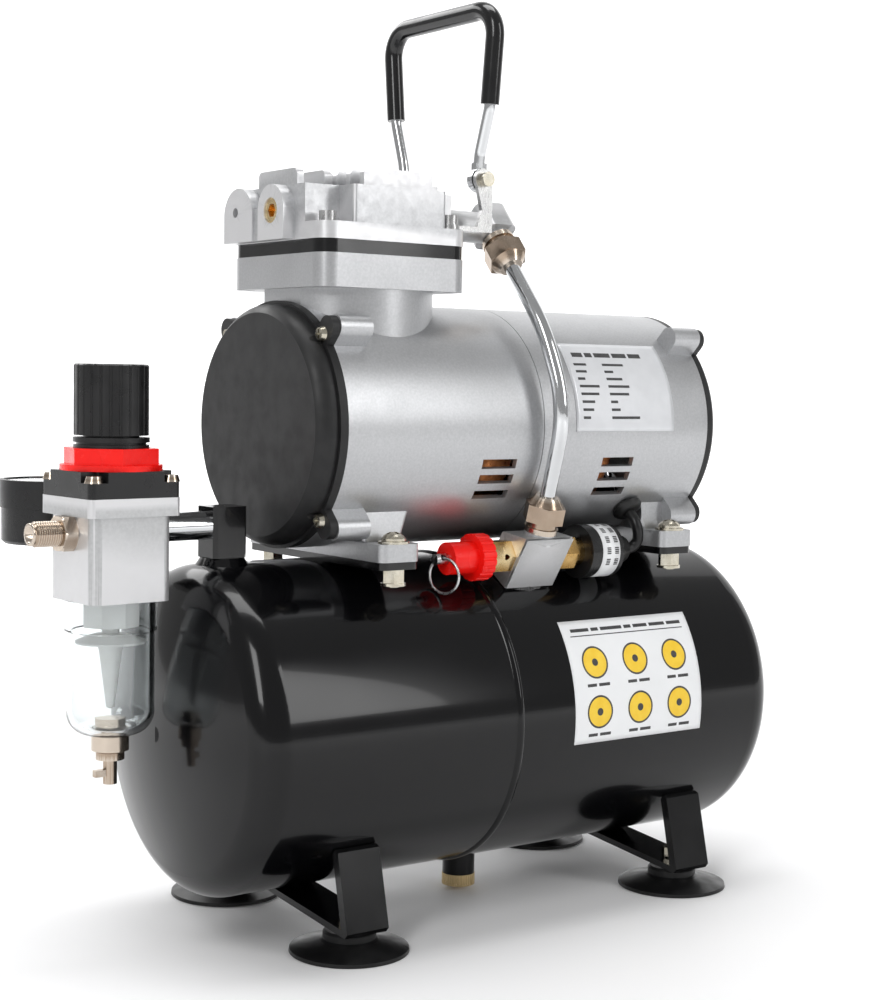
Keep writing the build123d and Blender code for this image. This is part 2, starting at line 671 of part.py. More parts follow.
def make_valve_plate():
    """Black valve plate with its ports, and the two spring-steel reeds."""
    with BuildPart() as plate:
        with BuildSketch(Plane.XY.offset(FLANGE_TOP)):
            with Locations((HEAD_X, 0)):
                RectangleRounded(2 * HEAD_HALF - 0.6, 2 * HEAD_HALF - 0.6, HEAD_CORNER)
                with Locations((-9, 0), (9, 0)):
                    Circle(3.5, mode=Mode.SUBTRACT)
        extrude(amount=PLATE_TOP - FLANGE_TOP)
        with BuildSketch(Plane.XY.offset(PLATE_TOP)):
            with Locations((HEAD_X, 0)):
                with Locations((-9, 4), (9, 4)):
                    SlotOverall(22, 10.4, rotation=90)
        extrude(amount=-1.2, mode=Mode.SUBTRACT)
        head_screw_holes(FLANGE_TOP, PLATE_TOP)
    save(plate, "valve_plate")

    with BuildPart() as reeds:
        with BuildSketch(Plane.XY.offset(PLATE_TOP - 1.2)):
            with Locations((HEAD_X, 0)):
                with Locations((-9, 4), (9, 4)):
                    SlotOverall(21, 9.4, rotation=90)
        extrude(amount=0.4)
    save(reeds, "reed_valves")


def make_head_cover():
    """Cast head cover: corner ledges for the screws, two port bosses and cooling fins."""
    block_left = -48.1
    block_right = -3.2
    block_half = 33.4
    waist_half = 22.4
    boss_x = -69.3
    fin = 3.2
    with BuildPart() as cover:
        with BuildSketch(Plane.XY.offset(PLATE_TOP)):
            with Locations((HEAD_X, 0)):
                RectangleRounded(2 * HEAD_HALF, 2 * HEAD_HALF, HEAD_CORNER)
        extrude(amount=LEDGE_Z - PLATE_TOP)
        with BuildSketch(Plane.XY.offset(LEDGE_Z)):
            with Locations(((block_left + block_right) / 2, 0)):
                RectangleRounded(block_right - block_left, 2 * block_half, 1.5)
            with Locations((HEAD_X, 0)):
                Rectangle(2 * HEAD_HALF, 2 * waist_half)
        extrude(amount=COVER_TOP - LEDGE_Z)
        for y, half, depth in ((-4.8, 9.8, 22), (20.9, 11.3, 7.2)):
            with BuildSketch(across_x(boss_x, y, 0)):
                with BuildLine():
                    side = Line((-half, PLATE_TOP + 0.2), (-half, 291))
                    ThreePointArc(side @ 1, (0, COVER_TOP + 0.3), (half, 291))
                    Polyline((half, 291), (half, PLATE_TOP + 0.2), side @ 0)
                make_face()
            extrude(amount=depth)
        with Locations((boss_x + 1.0, 7.8, PLATE_TOP + 0.2)):
            Box(9, 8, 13, align=(Align.MIN, Align.CENTER, Align.MIN))
        for fin_x, low, high in ((-57.3, -8.0, 22.0), (-44.3, -8.0, 29.0)):
            with BuildSketch(across_x(fin_x - fin / 2)):
                with Locations(((low + high) / 2, COVER_TOP)):
                    RectangleRounded(high - low, 2 * (FIN_TOP - COVER_TOP), 2.4)
                with Locations(((low + high) / 2, COVER_TOP - 5.5)):
                    Rectangle(60, 10, mode=Mode.SUBTRACT)
            extrude(amount=fin)
        for fin_y in (-26, -16, -6, 4, 14, 24):
            with BuildSketch(side_view(0, fin_y + fin / 2)):
                with Locations((-23.0, COVER_TOP)):
                    RectangleRounded(33.6, 2 * (FIN_TOP - COVER_TOP), 2.4)
                with Locations((-23.0, COVER_TOP - 5.5)):
                    Rectangle(60, 10, mode=Mode.SUBTRACT)
            extrude(amount=fin)
        with Locations((1.8, -10, COVER_TOP - 0.5)):
            Box(6, 12, 4.2, align=CENTRE_LOW)
        with BuildSketch(across_x(boss_x, 22.9, 291)):
            Circle(2.0)
        extrude(amount=9, mode=Mode.SUBTRACT)
        with BuildSketch(across_x(boss_x, -4.8, 290.4)):
            Circle(5.1)
        extrude(amount=9, mode=Mode.SUBTRACT)
        with BuildSketch(across_x(HEAD_X + HEAD_HALF, ELBOW_Y, ELBOW_Z)):
            Circle(4.6)
        extrude(amount=-12, mode=Mode.SUBTRACT)
        with Locations((HEAD_X, 0, PLATE_TOP)):
            Box(38, 38, 9, align=CENTRE_LOW, mode=Mode.SUBTRACT)
        head_screw_holes(PLATE_TOP, LEDGE_Z)
    save(cover, "head_cover")


def make_head_screws():
    """Socket-head screws in the corner ledges; the two under the handle sit on its tabs."""
    pitch = HEAD_HALF - SCREW_INSET
    with BuildPart() as screws:
        for sign_x, seat in ((-1, LEDGE_Z), (1, LEDGE_Z + 2.0)):
            for sign_y in (-1, 1):
                with Locations((HEAD_X + sign_x * pitch, sign_y * pitch, seat)):
                    Cylinder(3.5, 4.0, align=CENTRE_LOW)
                    Cylinder(2.0, 20.0, align=(Align.CENTER, Align.CENTER, Align.MAX))
                with BuildSketch(Plane.XY.offset(seat + 4.0)):
                    with Locations((HEAD_X + sign_x * pitch, sign_y * pitch)):
                        RegularPolygon(1.8, 6)
                extrude(amount=-2.2, mode=Mode.SUBTRACT)
    save(screws, "head_screws")

    with BuildPart() as plug:
        with BuildSketch(across_x(-68.6, -4.8, 290.4)):
            Circle(5.0)
        extrude(amount=8)
        with BuildSketch(across_x(-68.6, -4.8, 290.4)):
            RegularPolygon(2.9, 6)
        extrude(amount=3, mode=Mode.SUBTRACT)
    save(plug, "port_plug")


# ---------------------------------------------------------------- handle

def make_handle():
    """Bent steel tabs with rivets, a wire bail and its soft grip."""
    with BuildPart() as tabs:
        for sign in (-1, 1):
            inner = sign * (TAB_Y - 1.0)
            with BuildSketch(Plane.XY.offset(LEDGE_Z)):
                with Locations((HINGE_X - 8.3, sign * 27.6)):
                    RectangleRounded(24.8, 7.2, 2.0)
                with Locations((HEAD_X + HEAD_HALF - SCREW_INSET, sign * (HEAD_HALF - SCREW_INSET))):
                    Circle(4.1)
                    Circle(2.1, mode=Mode.SUBTRACT)
            extrude(amount=2.0)
            with BuildSketch(side_view(0, inner)):
                with BuildLine():
                    Polyline((HINGE_X - 4.0, LEDGE_Z), (HINGE_X + 4.2, LEDGE_Z), (HINGE_X + 4.2, HINGE_Z),
                             (HINGE_X - 4.2, HINGE_Z), (HINGE_X - 1.0, LEDGE_Z + 9), close=True)
                make_face()
                with Locations((HINGE_X, HINGE_Z)):
                    Circle(4.6)
                    Circle(PIN_RADIUS + 0.03, mode=Mode.SUBTRACT)
            extrude(amount=-2.0 * sign)
    save(tabs, "handle_tabs")

    with BuildPart() as pins:
        for sign in (-1, 1):
            stem = Plane(origin=(HINGE_X, sign * 24.0, HINGE_Z), x_dir=(1, 0, 0), z_dir=(0, sign, 0))
            with BuildSketch(stem):
                Circle(PIN_RADIUS)
            extrude(amount=9.8)
            with BuildSketch(stem.offset(TAB_Y - 24.0 + 1.05)):
                Circle(3.0)
            extrude(amount=2.9)
    save(pins, "handle_pins")

    with BuildPart() as bail:
        with BuildLine(Plane(origin=(HINGE_X, 0, 0), x_dir=(0, 1, 0), z_dir=(1, 0, 0))) as path:
            FilletPolyline((-26.6, HINGE_Z + 4), (-27.6, 318), (-KNEE_Y, KNEE_Z), (-GRIP_Y, GRIP_Z),
                           (GRIP_Y, GRIP_Z), (KNEE_Y, KNEE_Z), (27.6, 318), (26.6, HINGE_Z + 4),
                           radius=GRIP_BEND)
        with BuildSketch(Plane(origin=path.line @ 0, z_dir=path.line % 0)):
            Circle(2.45)
        sweep()
        for sign in (-1, 1):
            eye = Plane(origin=(HINGE_X, sign * 25.6, HINGE_Z), x_dir=(1, 0, 0), z_dir=(0, sign, 0))
            with BuildSketch(eye):
                Circle(5.0)
                with Locations((0, -3.5) if sign > 0 else (0, 3.5)):
                    Rectangle(5.6, 7)
            extrude(amount=3.2)
            with BuildSketch(eye):
                Circle(PIN_RADIUS + 0.06)
            extrude(amount=4, mode=Mode.SUBTRACT)
    save(bail, "handle_bail")

    grip_end = KNEE_Z + 1.6
    grip_y = KNEE_Y + (GRIP_Y - KNEE_Y) * (grip_end - KNEE_Z) / (GRIP_Z - KNEE_Z)
    with BuildPart() as grip:
        with BuildLine(Plane(origin=(HINGE_X, 0, 0), x_dir=(0, 1, 0), z_dir=(1, 0, 0))) as path:
            FilletPolyline((-grip_y, grip_end), (-GRIP_Y, GRIP_Z), (GRIP_Y, GRIP_Z), (grip_y, grip_end),
                           radius=GRIP_BEND)
        with BuildSketch(Plane(origin=path.line @ 0, z_dir=path.line % 0)):
            Circle(3.9)
            Circle(2.5, mode=Mode.SUBTRACT)
        sweep()
    save(grip, "handle_grip")


# ---------------------------------------------------------------- delivery line


def elbow_plane(out=0.0):
    """Plane square to the elbow's outlet, a distance along it."""
    return Plane(origin=(DELIVERY_X, ELBOW_Y, ELBOW_Z), x_dir=(1, 0, 0), z_dir=ELBOW_OUT).offset(out)


def union_plane(out=0.0):
    """Plane square to the union on the manifold, a distance along it."""
    return Plane(origin=UNION_FOOT, x_dir=(1, 0, 0), z_dir=UNION_OUT).offset(out)


def make_delivery_line():
    """Elbow in the head, bent tube down past the motor, and a compression nut at each end."""
    with BuildPart() as elbow:
        with BuildSketch(across_x(HEAD_X + HEAD_HALF - 10, ELBOW_Y, ELBOW_Z)):
            Circle(4.5)
        extrude(amount=12)
        with BuildSketch(across_x(HEAD_X + HEAD_HALF, ELBOW_Y, ELBOW_Z)):
            Circle(6.6)
        extrude(amount=24)
        with BuildSketch(elbow_plane(-8.0)):
            RectangleRounded(15.5, 15.5, 3.5)
        extrude(amount=13.0)
        with BuildSketch(elbow_plane(5.0)):
            Circle(6.0)
        extrude(amount=2.0)
        with BuildSketch(elbow_plane(7.0)):
            Circle(2.4)
        extrude(amount=-8, mode=Mode.SUBTRACT)
    save(elbow, "outlet_elbow")

    with BuildPart() as nuts:
        for start in (elbow_plane(7.0), union_plane(1.6)):
            with BuildSketch(start):
                Circle(7.1)
            extrude(amount=2.2)
            with BuildSketch(start.offset(2.2)):
                Circle(6.3)
            extrude(amount=2.6)
            with BuildSketch(start.offset(4.8)):
                RegularPolygon(9.0, 6)
            extrude(amount=7.2)
            with BuildSketch(start.offset(12.0)):
                Circle(7.7)
            extrude(amount=3.6, taper=38)
            with BuildSketch(start):
                Circle(TUBE_RADIUS + FIT)
            extrude(amount=16.0, mode=Mode.SUBTRACT)
    save(nuts, "compression_nuts")

    start = elbow_plane(7.2).origin
    finish = union_plane(3.0).origin
    with BuildPart() as tube:
        with BuildLine() as path:
            FilletPolyline(start, elbow_plane(57.5).origin, union_plane(55.0).origin, finish,
                           radius=(72, 52))
        with BuildSketch(Plane(origin=path.line @ 0, z_dir=path.line % 0)):
            Circle(TUBE_RADIUS)
            Circle(TUBE_RADIUS - 1.0, mode=Mode.SUBTRACT)
        sweep()
    save(tube, "delivery_tube")


def make_manifold():
    """Leaning manifold block on the tank, with the union for the delivery tube."""
    with BuildPart() as block:
        with BuildSketch(across_x(MANIFOLD_LEFT)):
            with BuildLine():
                Polyline((-54.5, 159.0), (-40.3, 136.95), (-27.3, 145.4), (-37.4, 161.3), close=True)
            make_face()
        extrude(amount=MANIFOLD_RIGHT - MANIFOLD_LEFT)
        chamfer(block.edges().filter_by(Axis.X), 0.6)
        face = Plane(origin=(37.7, -47.4, 148.0), x_dir=(1, 0, 0), z_dir=(0, -0.841, -0.541))
        with BuildSketch(face):
            Rectangle(60, 60)
            Circle(11.8, mode=Mode.SUBTRACT)
        extrude(amount=-1.1, mode=Mode.SUBTRACT)
        with BuildSketch(union_plane(-3.0)):
            Circle(6.8)
        extrude(amount=4.6)
        with Locations(manifold_plane(37.7, TANK_RADIUS - 3)):
            Cylinder(4.4, 5, align=CENTRE_LOW)
        for plane in (across_x(MANIFOLD_LEFT, PORT_Y, PORT_Z), across_x(MANIFOLD_RIGHT - 8, PORT_Y, PORT_Z)):
            with BuildSketch(plane):
                Circle(4.6)
            extrude(amount=8, mode=Mode.SUBTRACT)
        with BuildSketch(union_plane(1.6)):
            Circle(2.4)
        extrude(amount=-11, mode=Mode.SUBTRACT)
    save(block, "manifold_block")


def make_safety_valve():
    """Brass body, red cap, pull pin and split ring."""
    ring_face = 13.6
    pin_radius = 2.25
    pin_hole_x = -8.8
    with BuildPart() as body:
        with BuildSketch(across_x(MANIFOLD_LEFT, PORT_Y, PORT_Z)):
            Circle(4.5)
        extrude(amount=7)
        with BuildSketch(across_x(ring_face, PORT_Y, PORT_Z)):
            RegularPolygon(7.2, 6)
        extrude(amount=MANIFOLD_LEFT - ring_face)
        with BuildSketch(across_x(7.0, PORT_Y, PORT_Z)):
            Circle(5.2)
        extrude(amount=7.0)
        with BuildSketch(across_x(7.0, PORT_Y, PORT_Z)):
            Circle(pin_radius + FIT)
        extrude(amount=12, mode=Mode.SUBTRACT)
        with BuildSketch(side_view(PORT_Z, PORT_Y, 21.0)):
            Circle(1.2)
        extrude(amount=9, mode=Mode.SUBTRACT)
    save(body, "safety_valve_body")

    with BuildPart() as cap:
        with BuildSketch(across_x(7.0, PORT_Y, PORT_Z)):
            Circle(9.8)
            with PolarLocations(10.0, 18):
                Circle(0.7, mode=Mode.SUBTRACT)
        extrude(amount=6.6)
        with BuildSketch(across_x(-5.3, PORT_Y, PORT_Z)):
            Circle(6.7)
        extrude(amount=12.4)
        with BuildSketch(across_x(-6, PORT_Y, PORT_Z)):
            Circle(pin_radius + FIT)
        extrude(amount=15, mode=Mode.SUBTRACT)
        with BuildSketch(across_x(6.9, PORT_Y, PORT_Z)):
            Circle(5.25)
        extrude(amount=8, mode=Mode.SUBTRACT)
    save(cap, "safety_valve_cap")

    with BuildPart() as pin:
        with BuildSketch(across_x(-11.2, PORT_Y, PORT_Z)):
            Circle(pin_radius)
        extrude(amount=24)
        hole = Plane(origin=(pin_hole_x, PORT_Y, PORT_Z), x_dir=RING_NORMAL, z_dir=RING_TANGENT)
        with BuildSketch(hole):
            Circle(1.25)
        extrude(amount=6, both=True, mode=Mode.SUBTRACT)
    save(pin, "safety_valve_pin")

    ring_radius = 7.2
    centre = Vector(pin_hole_x, PORT_Y, PORT_Z) + RING_DROP * ring_radius
    with BuildPart() as ring:
        with Locations(Plane(origin=centre, x_dir=RING_TANGENT, z_dir=RING_NORMAL)):
            Torus(ring_radius, 0.6)
    save(ring, "pull_ring")


def make_pressure_switch():
    """Pressure switch on the manifold, with its boot and lead to the motor."""
    switch_face = 64.2
    with BuildPart() as cup:
        with BuildSketch(across_x(MANIFOLD_RIGHT - 6, PORT_Y, PORT_Z)):
            Circle(4.5)
        extrude(amount=switch_face - MANIFOLD_RIGHT + 6)
        with BuildSketch(across_x(MANIFOLD_RIGHT, PORT_Y, PORT_Z)):
            RegularPolygon(7.6, 6)
        extrude(amount=9.4)
        with BuildSketch(across_x(MANIFOLD_RIGHT + 9.4, PORT_Y, PORT_Z)):
            Circle(6.0)
        extrude(amount=switch_face - MANIFOLD_RIGHT - 9.4)
    save(cup, "pressure_switch_cup")

    with BuildPart() as body:
        with BuildSketch(across_x(switch_face, PORT_Y, PORT_Z)):
            Circle(11.6)
        extrude(amount=4.6)
        with BuildSketch(across_x(switch_face + 4.4, PORT_Y, PORT_Z)):
            Circle(11.3)
        extrude(amount=13.4)
    save(body, "pressure_switch_body")

    boot_low = switch_face + 17.8
    with BuildPart() as lead:
        with BuildSketch(across_x(boot_low, PORT_Y, PORT_Z)):
            Circle(9.6)
        with BuildSketch(across_x(boot_low + 8.6, PORT_Y, PORT_Z)):
            Circle(5.4)
        loft()
        with BuildLine() as path:
            FilletPolyline((boot_low + 6, PORT_Y, PORT_Z), (99.4, PORT_Y - 0.4, PORT_Z + 0.2),
                           grommet_plane(62.0).origin, grommet_plane(BORE_RADIUS - 3).origin,
                           radius=(4.2, 7.0))
        with BuildSketch(Plane(origin=path.line @ 0, z_dir=path.line % 0)):
            Circle(2.4)
        sweep()
    save(lead, "switch_lead")

    with BuildPart() as grommet:
        with BuildSketch(side_view()):
            with BuildLine():
                Polyline((2.45, -5.4), (3.55, -5.4), (3.55, 0.1), (6.8, 0.1), (6.8, 0.9))
                ThreePointArc((6.8, 0.9), (5.0, 2.6), (2.45, 3.2))
                Line((2.45, 3.2), (2.45, -5.4))
            make_face()
        revolve(axis=Axis.Z)
    seat = grommet_plane(MOTOR_RADIUS + 0.5)
    grommet.part.label = "lead_grommet"
    export_step(seat.location * grommet.part, "parts/lead_grommet.step")


def grommet_plane(out):
    """Plane square to the lead's hole low on the rear housing, a distance from the motor's axis."""
    direction = (0, -cos(radians(-45)), sin(radians(-45)))
    base = Plane(origin=(96.4, 0, MOTOR_Z), x_dir=(1, 0, 0), z_dir=direction)
    return base.offset(out)


# ---------------------------------------------------------------- regulator

def make_inlet():
    """Black square elbow on the tank port and the short chromed pipe to the regulator."""
    low = 152.3
    with BuildPart() as elbow:
        with BuildSketch(regulator_plane(low)):
            Rectangle(15.6, 14.0)
        extrude(amount=20.4)
        chamfer(elbow.edges().filter_by(Axis.Z), 1.6)
        with BuildSketch(regulator_plane(TANK_TOP - 5)):
            Circle(4.95)
        extrude(amount=low - TANK_TOP + 6)
        with BuildSketch(regulator_axis_plane(-8.0, 165.2)):
            Circle(5.2)
        extrude(amount=9, mode=Mode.SUBTRACT)
    save(elbow, "inlet_elbow")

    with BuildPart() as pipe:
        with BuildSketch(regulator_axis_plane(-32.88, 165.2)):
            Circle(5.75)
        extrude(amount=25.05)
        with BuildSketch(regulator_axis_plane(-40.0, 165.2)):
            Circle(5.15)
        extrude(amount=38.6)
        with BuildSketch(regulator_axis_plane(-40.0, 165.2)):
            Circle(3.2)
        extrude(amount=40, mode=Mode.SUBTRACT)
    save(pipe, "inlet_pipe")


def make_regulator():
    """Cast regulator body with its bonnet, screws, panel nut, knob and adjusting screw."""
    centre = REGULATOR_OFFSET
    with BuildPart() as body:
        with BuildSketch(regulator_plane(138.6, centre)):
            RectangleRounded(34.2, 34.2, 4.0)
        extrude(amount=34)
        with BuildSketch(regulator_plane(171.2, centre)):
            RectangleRounded(39.0, 39.0, 2.4)
        extrude(amount=7.0)
        for along, flip, depth in ((centre - 17.1, 1, 12), (centre + 17.1, -1, 12)):
            with BuildSketch(regulator_axis_plane(along, OUTLET_Z if flip > 0 else 165.2, 0, flip)):
                Circle(THREAD_RADIUS + FIT if flip > 0 else 5.2)
            extrude(amount=depth, mode=Mode.SUBTRACT)
        with BuildSketch(regulator_plane(150, centre)):
            Circle(9.0)
        extrude(amount=24, mode=Mode.SUBTRACT)
        with BuildSketch(regulator_plane(138.6, centre)):
            Circle(5.6)
        extrude(amount=14, mode=Mode.SUBTRACT)
        back = regulator_plane(165.2, centre, 17.1)
        with BuildSketch(Plane(origin=back.origin, x_dir=back.x_dir, z_dir=back.y_dir * -1)):
            Circle(4.1)
        extrude(amount=9, mode=Mode.SUBTRACT)
    save(body, "regulator_body")

    with BuildPart() as bonnet:
        with BuildSketch(regulator_plane(178.2, centre)):
            RectangleRounded(38.6, 38.6, 2.4)
        extrude(amount=9.9)
        with BuildSketch(regulator_plane(184.1, centre)):
            with GridLocations(32.6, 32.6, 2, 2):
                RectangleRounded(8.8, 8.8, 1.0)
        extrude(amount=5, mode=Mode.SUBTRACT)
        with BuildSketch(regulator_plane(188.1, centre)):
            Circle(14.3)
        extrude(amount=9.6)
        with BuildSketch(regulator_plane(197.7, centre)):
            Circle(13.2)
        extrude(amount=1.0)
        with BuildSketch(regulator_plane(198.7, centre)):
            Circle(14.5)
        extrude(amount=1.8)
        with BuildSketch(regulator_plane(200.5, centre)):
            Circle(10.6)
        extrude(amount=6.0)
        with BuildSketch(regulator_plane(178.2, centre)):
            Circle(8.4)
        extrude(amount=21.7, mode=Mode.SUBTRACT)
        with BuildSketch(regulator_plane(199, centre)):
            Circle(3.05)
        extrude(amount=9, mode=Mode.SUBTRACT)
    save(bonnet, "regulator_bonnet")

    with BuildPart() as screws:
        with BuildSketch(regulator_plane(184.1, centre)):
            with GridLocations(32.6, 32.6, 2, 2):
                Circle(3.6)
        extrude(amount=2.6, taper=16)
        with BuildSketch(regulator_plane(185.5, centre)):
            with GridLocations(32.6, 32.6, 2, 2):
                Rectangle(4.0, 0.8)
                Rectangle(0.8, 4.0)
        extrude(amount=3, mode=Mode.SUBTRACT)
    save(screws, "bonnet_screws")

    with BuildPart() as nut:
        with BuildSketch(regulator_plane(188.1, centre)):
            Circle(19.4)
        extrude(amount=2.2)
        with BuildSketch(regulator_plane(190.3, centre)):
            RegularPolygon(18.6, 6, rotation=14)
        extrude(amount=6.2)
        with BuildSketch(regulator_plane(188.1, centre)):
            Circle(14.36)
        extrude(amount=9, mode=Mode.SUBTRACT)
    save(nut, "panel_nut")

    with BuildPart() as screw:
        with BuildSketch(regulator_plane(186.0, centre)):
            Circle(3.0)
        extrude(amount=21.4)
        with BuildSketch(regulator_plane(207.4, centre)):
            Circle(4.0)
        extrude(amount=13.6)
        with BuildSketch(regulator_plane(182.4, centre)):
            Circle(7.8)
        extrude(amount=3.6)
    save(screw, "adjusting_screw")

    knob_low = 201.3
    knob_high = 228.2
    with BuildPart() as knob:
        with BuildSketch(regulator_plane(knob_low, centre)):
            Circle(14.15)
            with PolarLocations(14.35, 24):
                Circle(0.55, mode=Mode.SUBTRACT)
        extrude(amount=knob_high - knob_low)
        chamfer(knob.faces().sort_by(Axis.Z)[-1].edges().filter_by(GeomType.CIRCLE), 0.6)
        with BuildSketch(regulator_plane(knob_low, centre)):
            Circle(11.4)
        extrude(amount=12, mode=Mode.SUBTRACT)
        with BuildSketch(regulator_plane(knob_low + 11, centre)):
            Circle(4.05)
        extrude(amount=12.5, mode=Mode.SUBTRACT)
    save(knob, "pressure_knob")

    with BuildPart() as nipple:
        with BuildSketch(regulator_axis_plane(centre - 17.1, OUTLET_Z, 0, -1)):
            RegularPolygon(7.5, 6)
        extrude(amount=5.6)
        with BuildSketch(regulator_axis_plane(centre - 7.2, OUTLET_Z, 0, -1)):
            Circle(THREAD_RADIUS)
        extrude(amount=centre - 7.2 - OUTLET_TIP)
        with BuildSketch(regulator_axis_plane(centre, OUTLET_Z, 0, -1)):
            Circle(2.9)
        extrude(amount=60, mode=Mode.SUBTRACT)
    save(nipple, "outlet_nipple")


def make_gauge():
    """Pressure gauge: case with a dial seat, needle and lens."""
    case_low = 156.6
    step_z = 171.0
    rim_z = 182.0
    dial_z = 178.0
    with BuildPart() as case:
        with BuildSketch(regulator_plane(case_low, REGULATOR_OFFSET, GAUGE_OFFSET)):
            Circle(GAUGE_RADIUS - 0.8)
        extrude(amount=step_z - case_low)
        chamfer(case.faces().sort_by(Axis.Z)[0].edges(), 1.2)
        with BuildSketch(regulator_plane(step_z, REGULATOR_OFFSET, GAUGE_OFFSET)):
            Circle(GAUGE_RADIUS)
        extrude(amount=rim_z - step_z)
        with BuildSketch(regulator_plane(dial_z, REGULATOR_OFFSET, GAUGE_OFFSET)):
            Circle(GAUGE_RADIUS - 2.0)
        extrude(amount=6, mode=Mode.SUBTRACT)
        with BuildSketch(regulator_plane(dial_z - 3, REGULATOR_OFFSET, GAUGE_OFFSET)):
            Circle(1.06)
        extrude(amount=4, mode=Mode.SUBTRACT)
        neck = regulator_plane(165.2, REGULATOR_OFFSET, 17.1)
        with BuildSketch(Plane(origin=neck.origin, x_dir=neck.x_dir, z_dir=neck.y_dir)):
            RegularPolygon(6.4, 6)
        extrude(amount=13.5)
        with BuildSketch(Plane(origin=neck.origin, x_dir=neck.x_dir, z_dir=neck.y_dir * -1)):
            Circle(4.0)
        extrude(amount=8)
    save(case, "gauge_case")

    with BuildPart() as needle:
        with BuildSketch(regulator_plane(dial_z + 0.8, REGULATOR_OFFSET, GAUGE_OFFSET)):
            Circle(2.2)
            with Locations((-3.4, -3.4)):
                Rectangle(18.5, 1.3, rotation=45)
        extrude(amount=0.6)
        with BuildSketch(regulator_plane(dial_z - 2.8, REGULATOR_OFFSET, GAUGE_OFFSET)):
            Circle(1.0)
        extrude(amount=4.0)
    save(needle, "gauge_needle")

    with BuildPart() as lens:
        with BuildSketch(regulator_plane(dial_z + 2.2, REGULATOR_OFFSET, GAUGE_OFFSET)):
            Circle(GAUGE_RADIUS - 2.05)
        extrude(amount=1.4)
    save(lens, "gauge_lens")


def make_filter():
    """Clear bowl with the separator inside and a drain valve at the bottom."""
    centre = REGULATOR_OFFSET
    axis_plane = regulator_plane(0, centre)
    upright = Plane(origin=axis_plane.origin, x_dir=axis_plane.x_dir, z_dir=axis_plane.y_dir * -1)
    axis = Axis(axis_plane.origin, (0, 0, 1))
    with BuildPart() as bowl:
        with BuildSketch(upright):
            with BuildLine():
                Polyline((15.0, 138.6), (17.6, 138.6), (17.6, 127.0), (16.8, 126.5), (16.8, 95.6))
                ThreePointArc((16.8, 95.6), (14.4, 89.4), (8.6, 86.6))
                Polyline((8.6, 86.6), (6.6, 86.2), (3.1, 86.2), (3.1, 88.4), (8.2, 88.6))
                ThreePointArc((8.2, 88.6), (13.1, 91.0), (15.0, 95.8))
                Line((15.0, 95.8), (15.0, 138.6))
            make_face()
        revolve(axis=axis)
    save(bowl, "filter_bowl")

    with BuildPart() as element:
        with BuildSketch(regulator_plane(128.4, centre)):
            RegularPolygon(11.0, 8)
        extrude(amount=10.2)
        with BuildSketch(upright):
            with BuildLine():
                Polyline((0, 140.0), (5.5, 140.0), (5.5, 128.4), (3.4, 128.4), (3.4, 125.8), (7.0, 125.2),
                         (13.4, 122.8), (13.2, 122.0), (5.2, 121.2), (4.4, 118.8), (1.6, 97.0), (0, 96.4),
                         close=True)
            make_face()
        revolve(axis=axis)
    save(element, "filter_element")

    with BuildPart() as stem:
        with BuildSketch(upright):
            with BuildLine():
                Polyline((0, 92.6), (6.0, 92.6), (6.0, 89.0), (2.7, 89.0), (2.7, 67.2), (0, 67.2), close=True)
            make_face()
        revolve(axis=axis)
        with BuildSketch(upright):
            with Locations((-4.6, 71.6)):
                Rectangle(4.4, 2.6)
        extrude(amount=1.3, both=True)
    save(stem, "drain_stem")

    with BuildPart() as seat:
        with BuildSketch(upright):
            with BuildLine():
                Polyline((2.76, 86.15), (7.2, 86.15), (7.2, 80.4), (5.5, 79.6), (5.5, 76.8), (2.76, 76.8),
                         close=True)
            make_face()
        revolve(axis=axis)
    save(seat, "drain_seat")


make_tank()
make_drain()
make_straps()
make_feet()
make_brackets()
make_mount_bolts()
make_front_housing()
make_rear_housing()
make_front_cap()
make_rear_cap()
make_cap_screws()
make_stator()
make_rotating_group()
make_bearings()
make_piston()
make_valve_plate()
make_head_cover()
make_head_screws()
make_handle()
make_delivery_line()
make_manifold()
make_safety_valve()
make_pressure_switch()
make_inlet()
make_regulator()
make_gauge()
make_filter()
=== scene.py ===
"""Looks for the airbrush compressor: materials, labels, dial, floor, light and camera."""
from math import cos, pi, radians, sin, sqrt

import bmesh
import bpy
from mathutils import Matrix, Vector


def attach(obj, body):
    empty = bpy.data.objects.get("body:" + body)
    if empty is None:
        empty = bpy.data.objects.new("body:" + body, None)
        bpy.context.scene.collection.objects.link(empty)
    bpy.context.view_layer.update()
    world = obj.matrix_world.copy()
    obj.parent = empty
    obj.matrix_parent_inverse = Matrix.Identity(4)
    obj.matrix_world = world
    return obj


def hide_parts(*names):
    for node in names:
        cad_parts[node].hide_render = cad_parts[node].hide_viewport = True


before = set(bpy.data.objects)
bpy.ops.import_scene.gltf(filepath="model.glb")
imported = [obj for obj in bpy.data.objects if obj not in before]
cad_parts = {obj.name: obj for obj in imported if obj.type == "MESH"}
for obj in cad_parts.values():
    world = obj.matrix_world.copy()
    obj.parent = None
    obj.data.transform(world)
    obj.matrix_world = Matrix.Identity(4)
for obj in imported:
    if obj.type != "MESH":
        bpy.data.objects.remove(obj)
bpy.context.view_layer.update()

MM = 0.001
TANK_Z = 83.4 * MM
TANK_R = 66.4 * MM
MOTOR_Z = 204.9 * MM
MOTOR_R = 50.1 * MM

# Camera: a long lens, in front and to the left, almost level.
SENSOR_WIDTH = 36.0
LENS = 65.87
CAMERA_SPOT = (-447.29, -638.21, 225.27)
CAMERA_AZIMUTH = radians(-36.4)
CAMERA_ELEVATION = radians(3.84)
CAMERA_ROLL = radians(0.94)

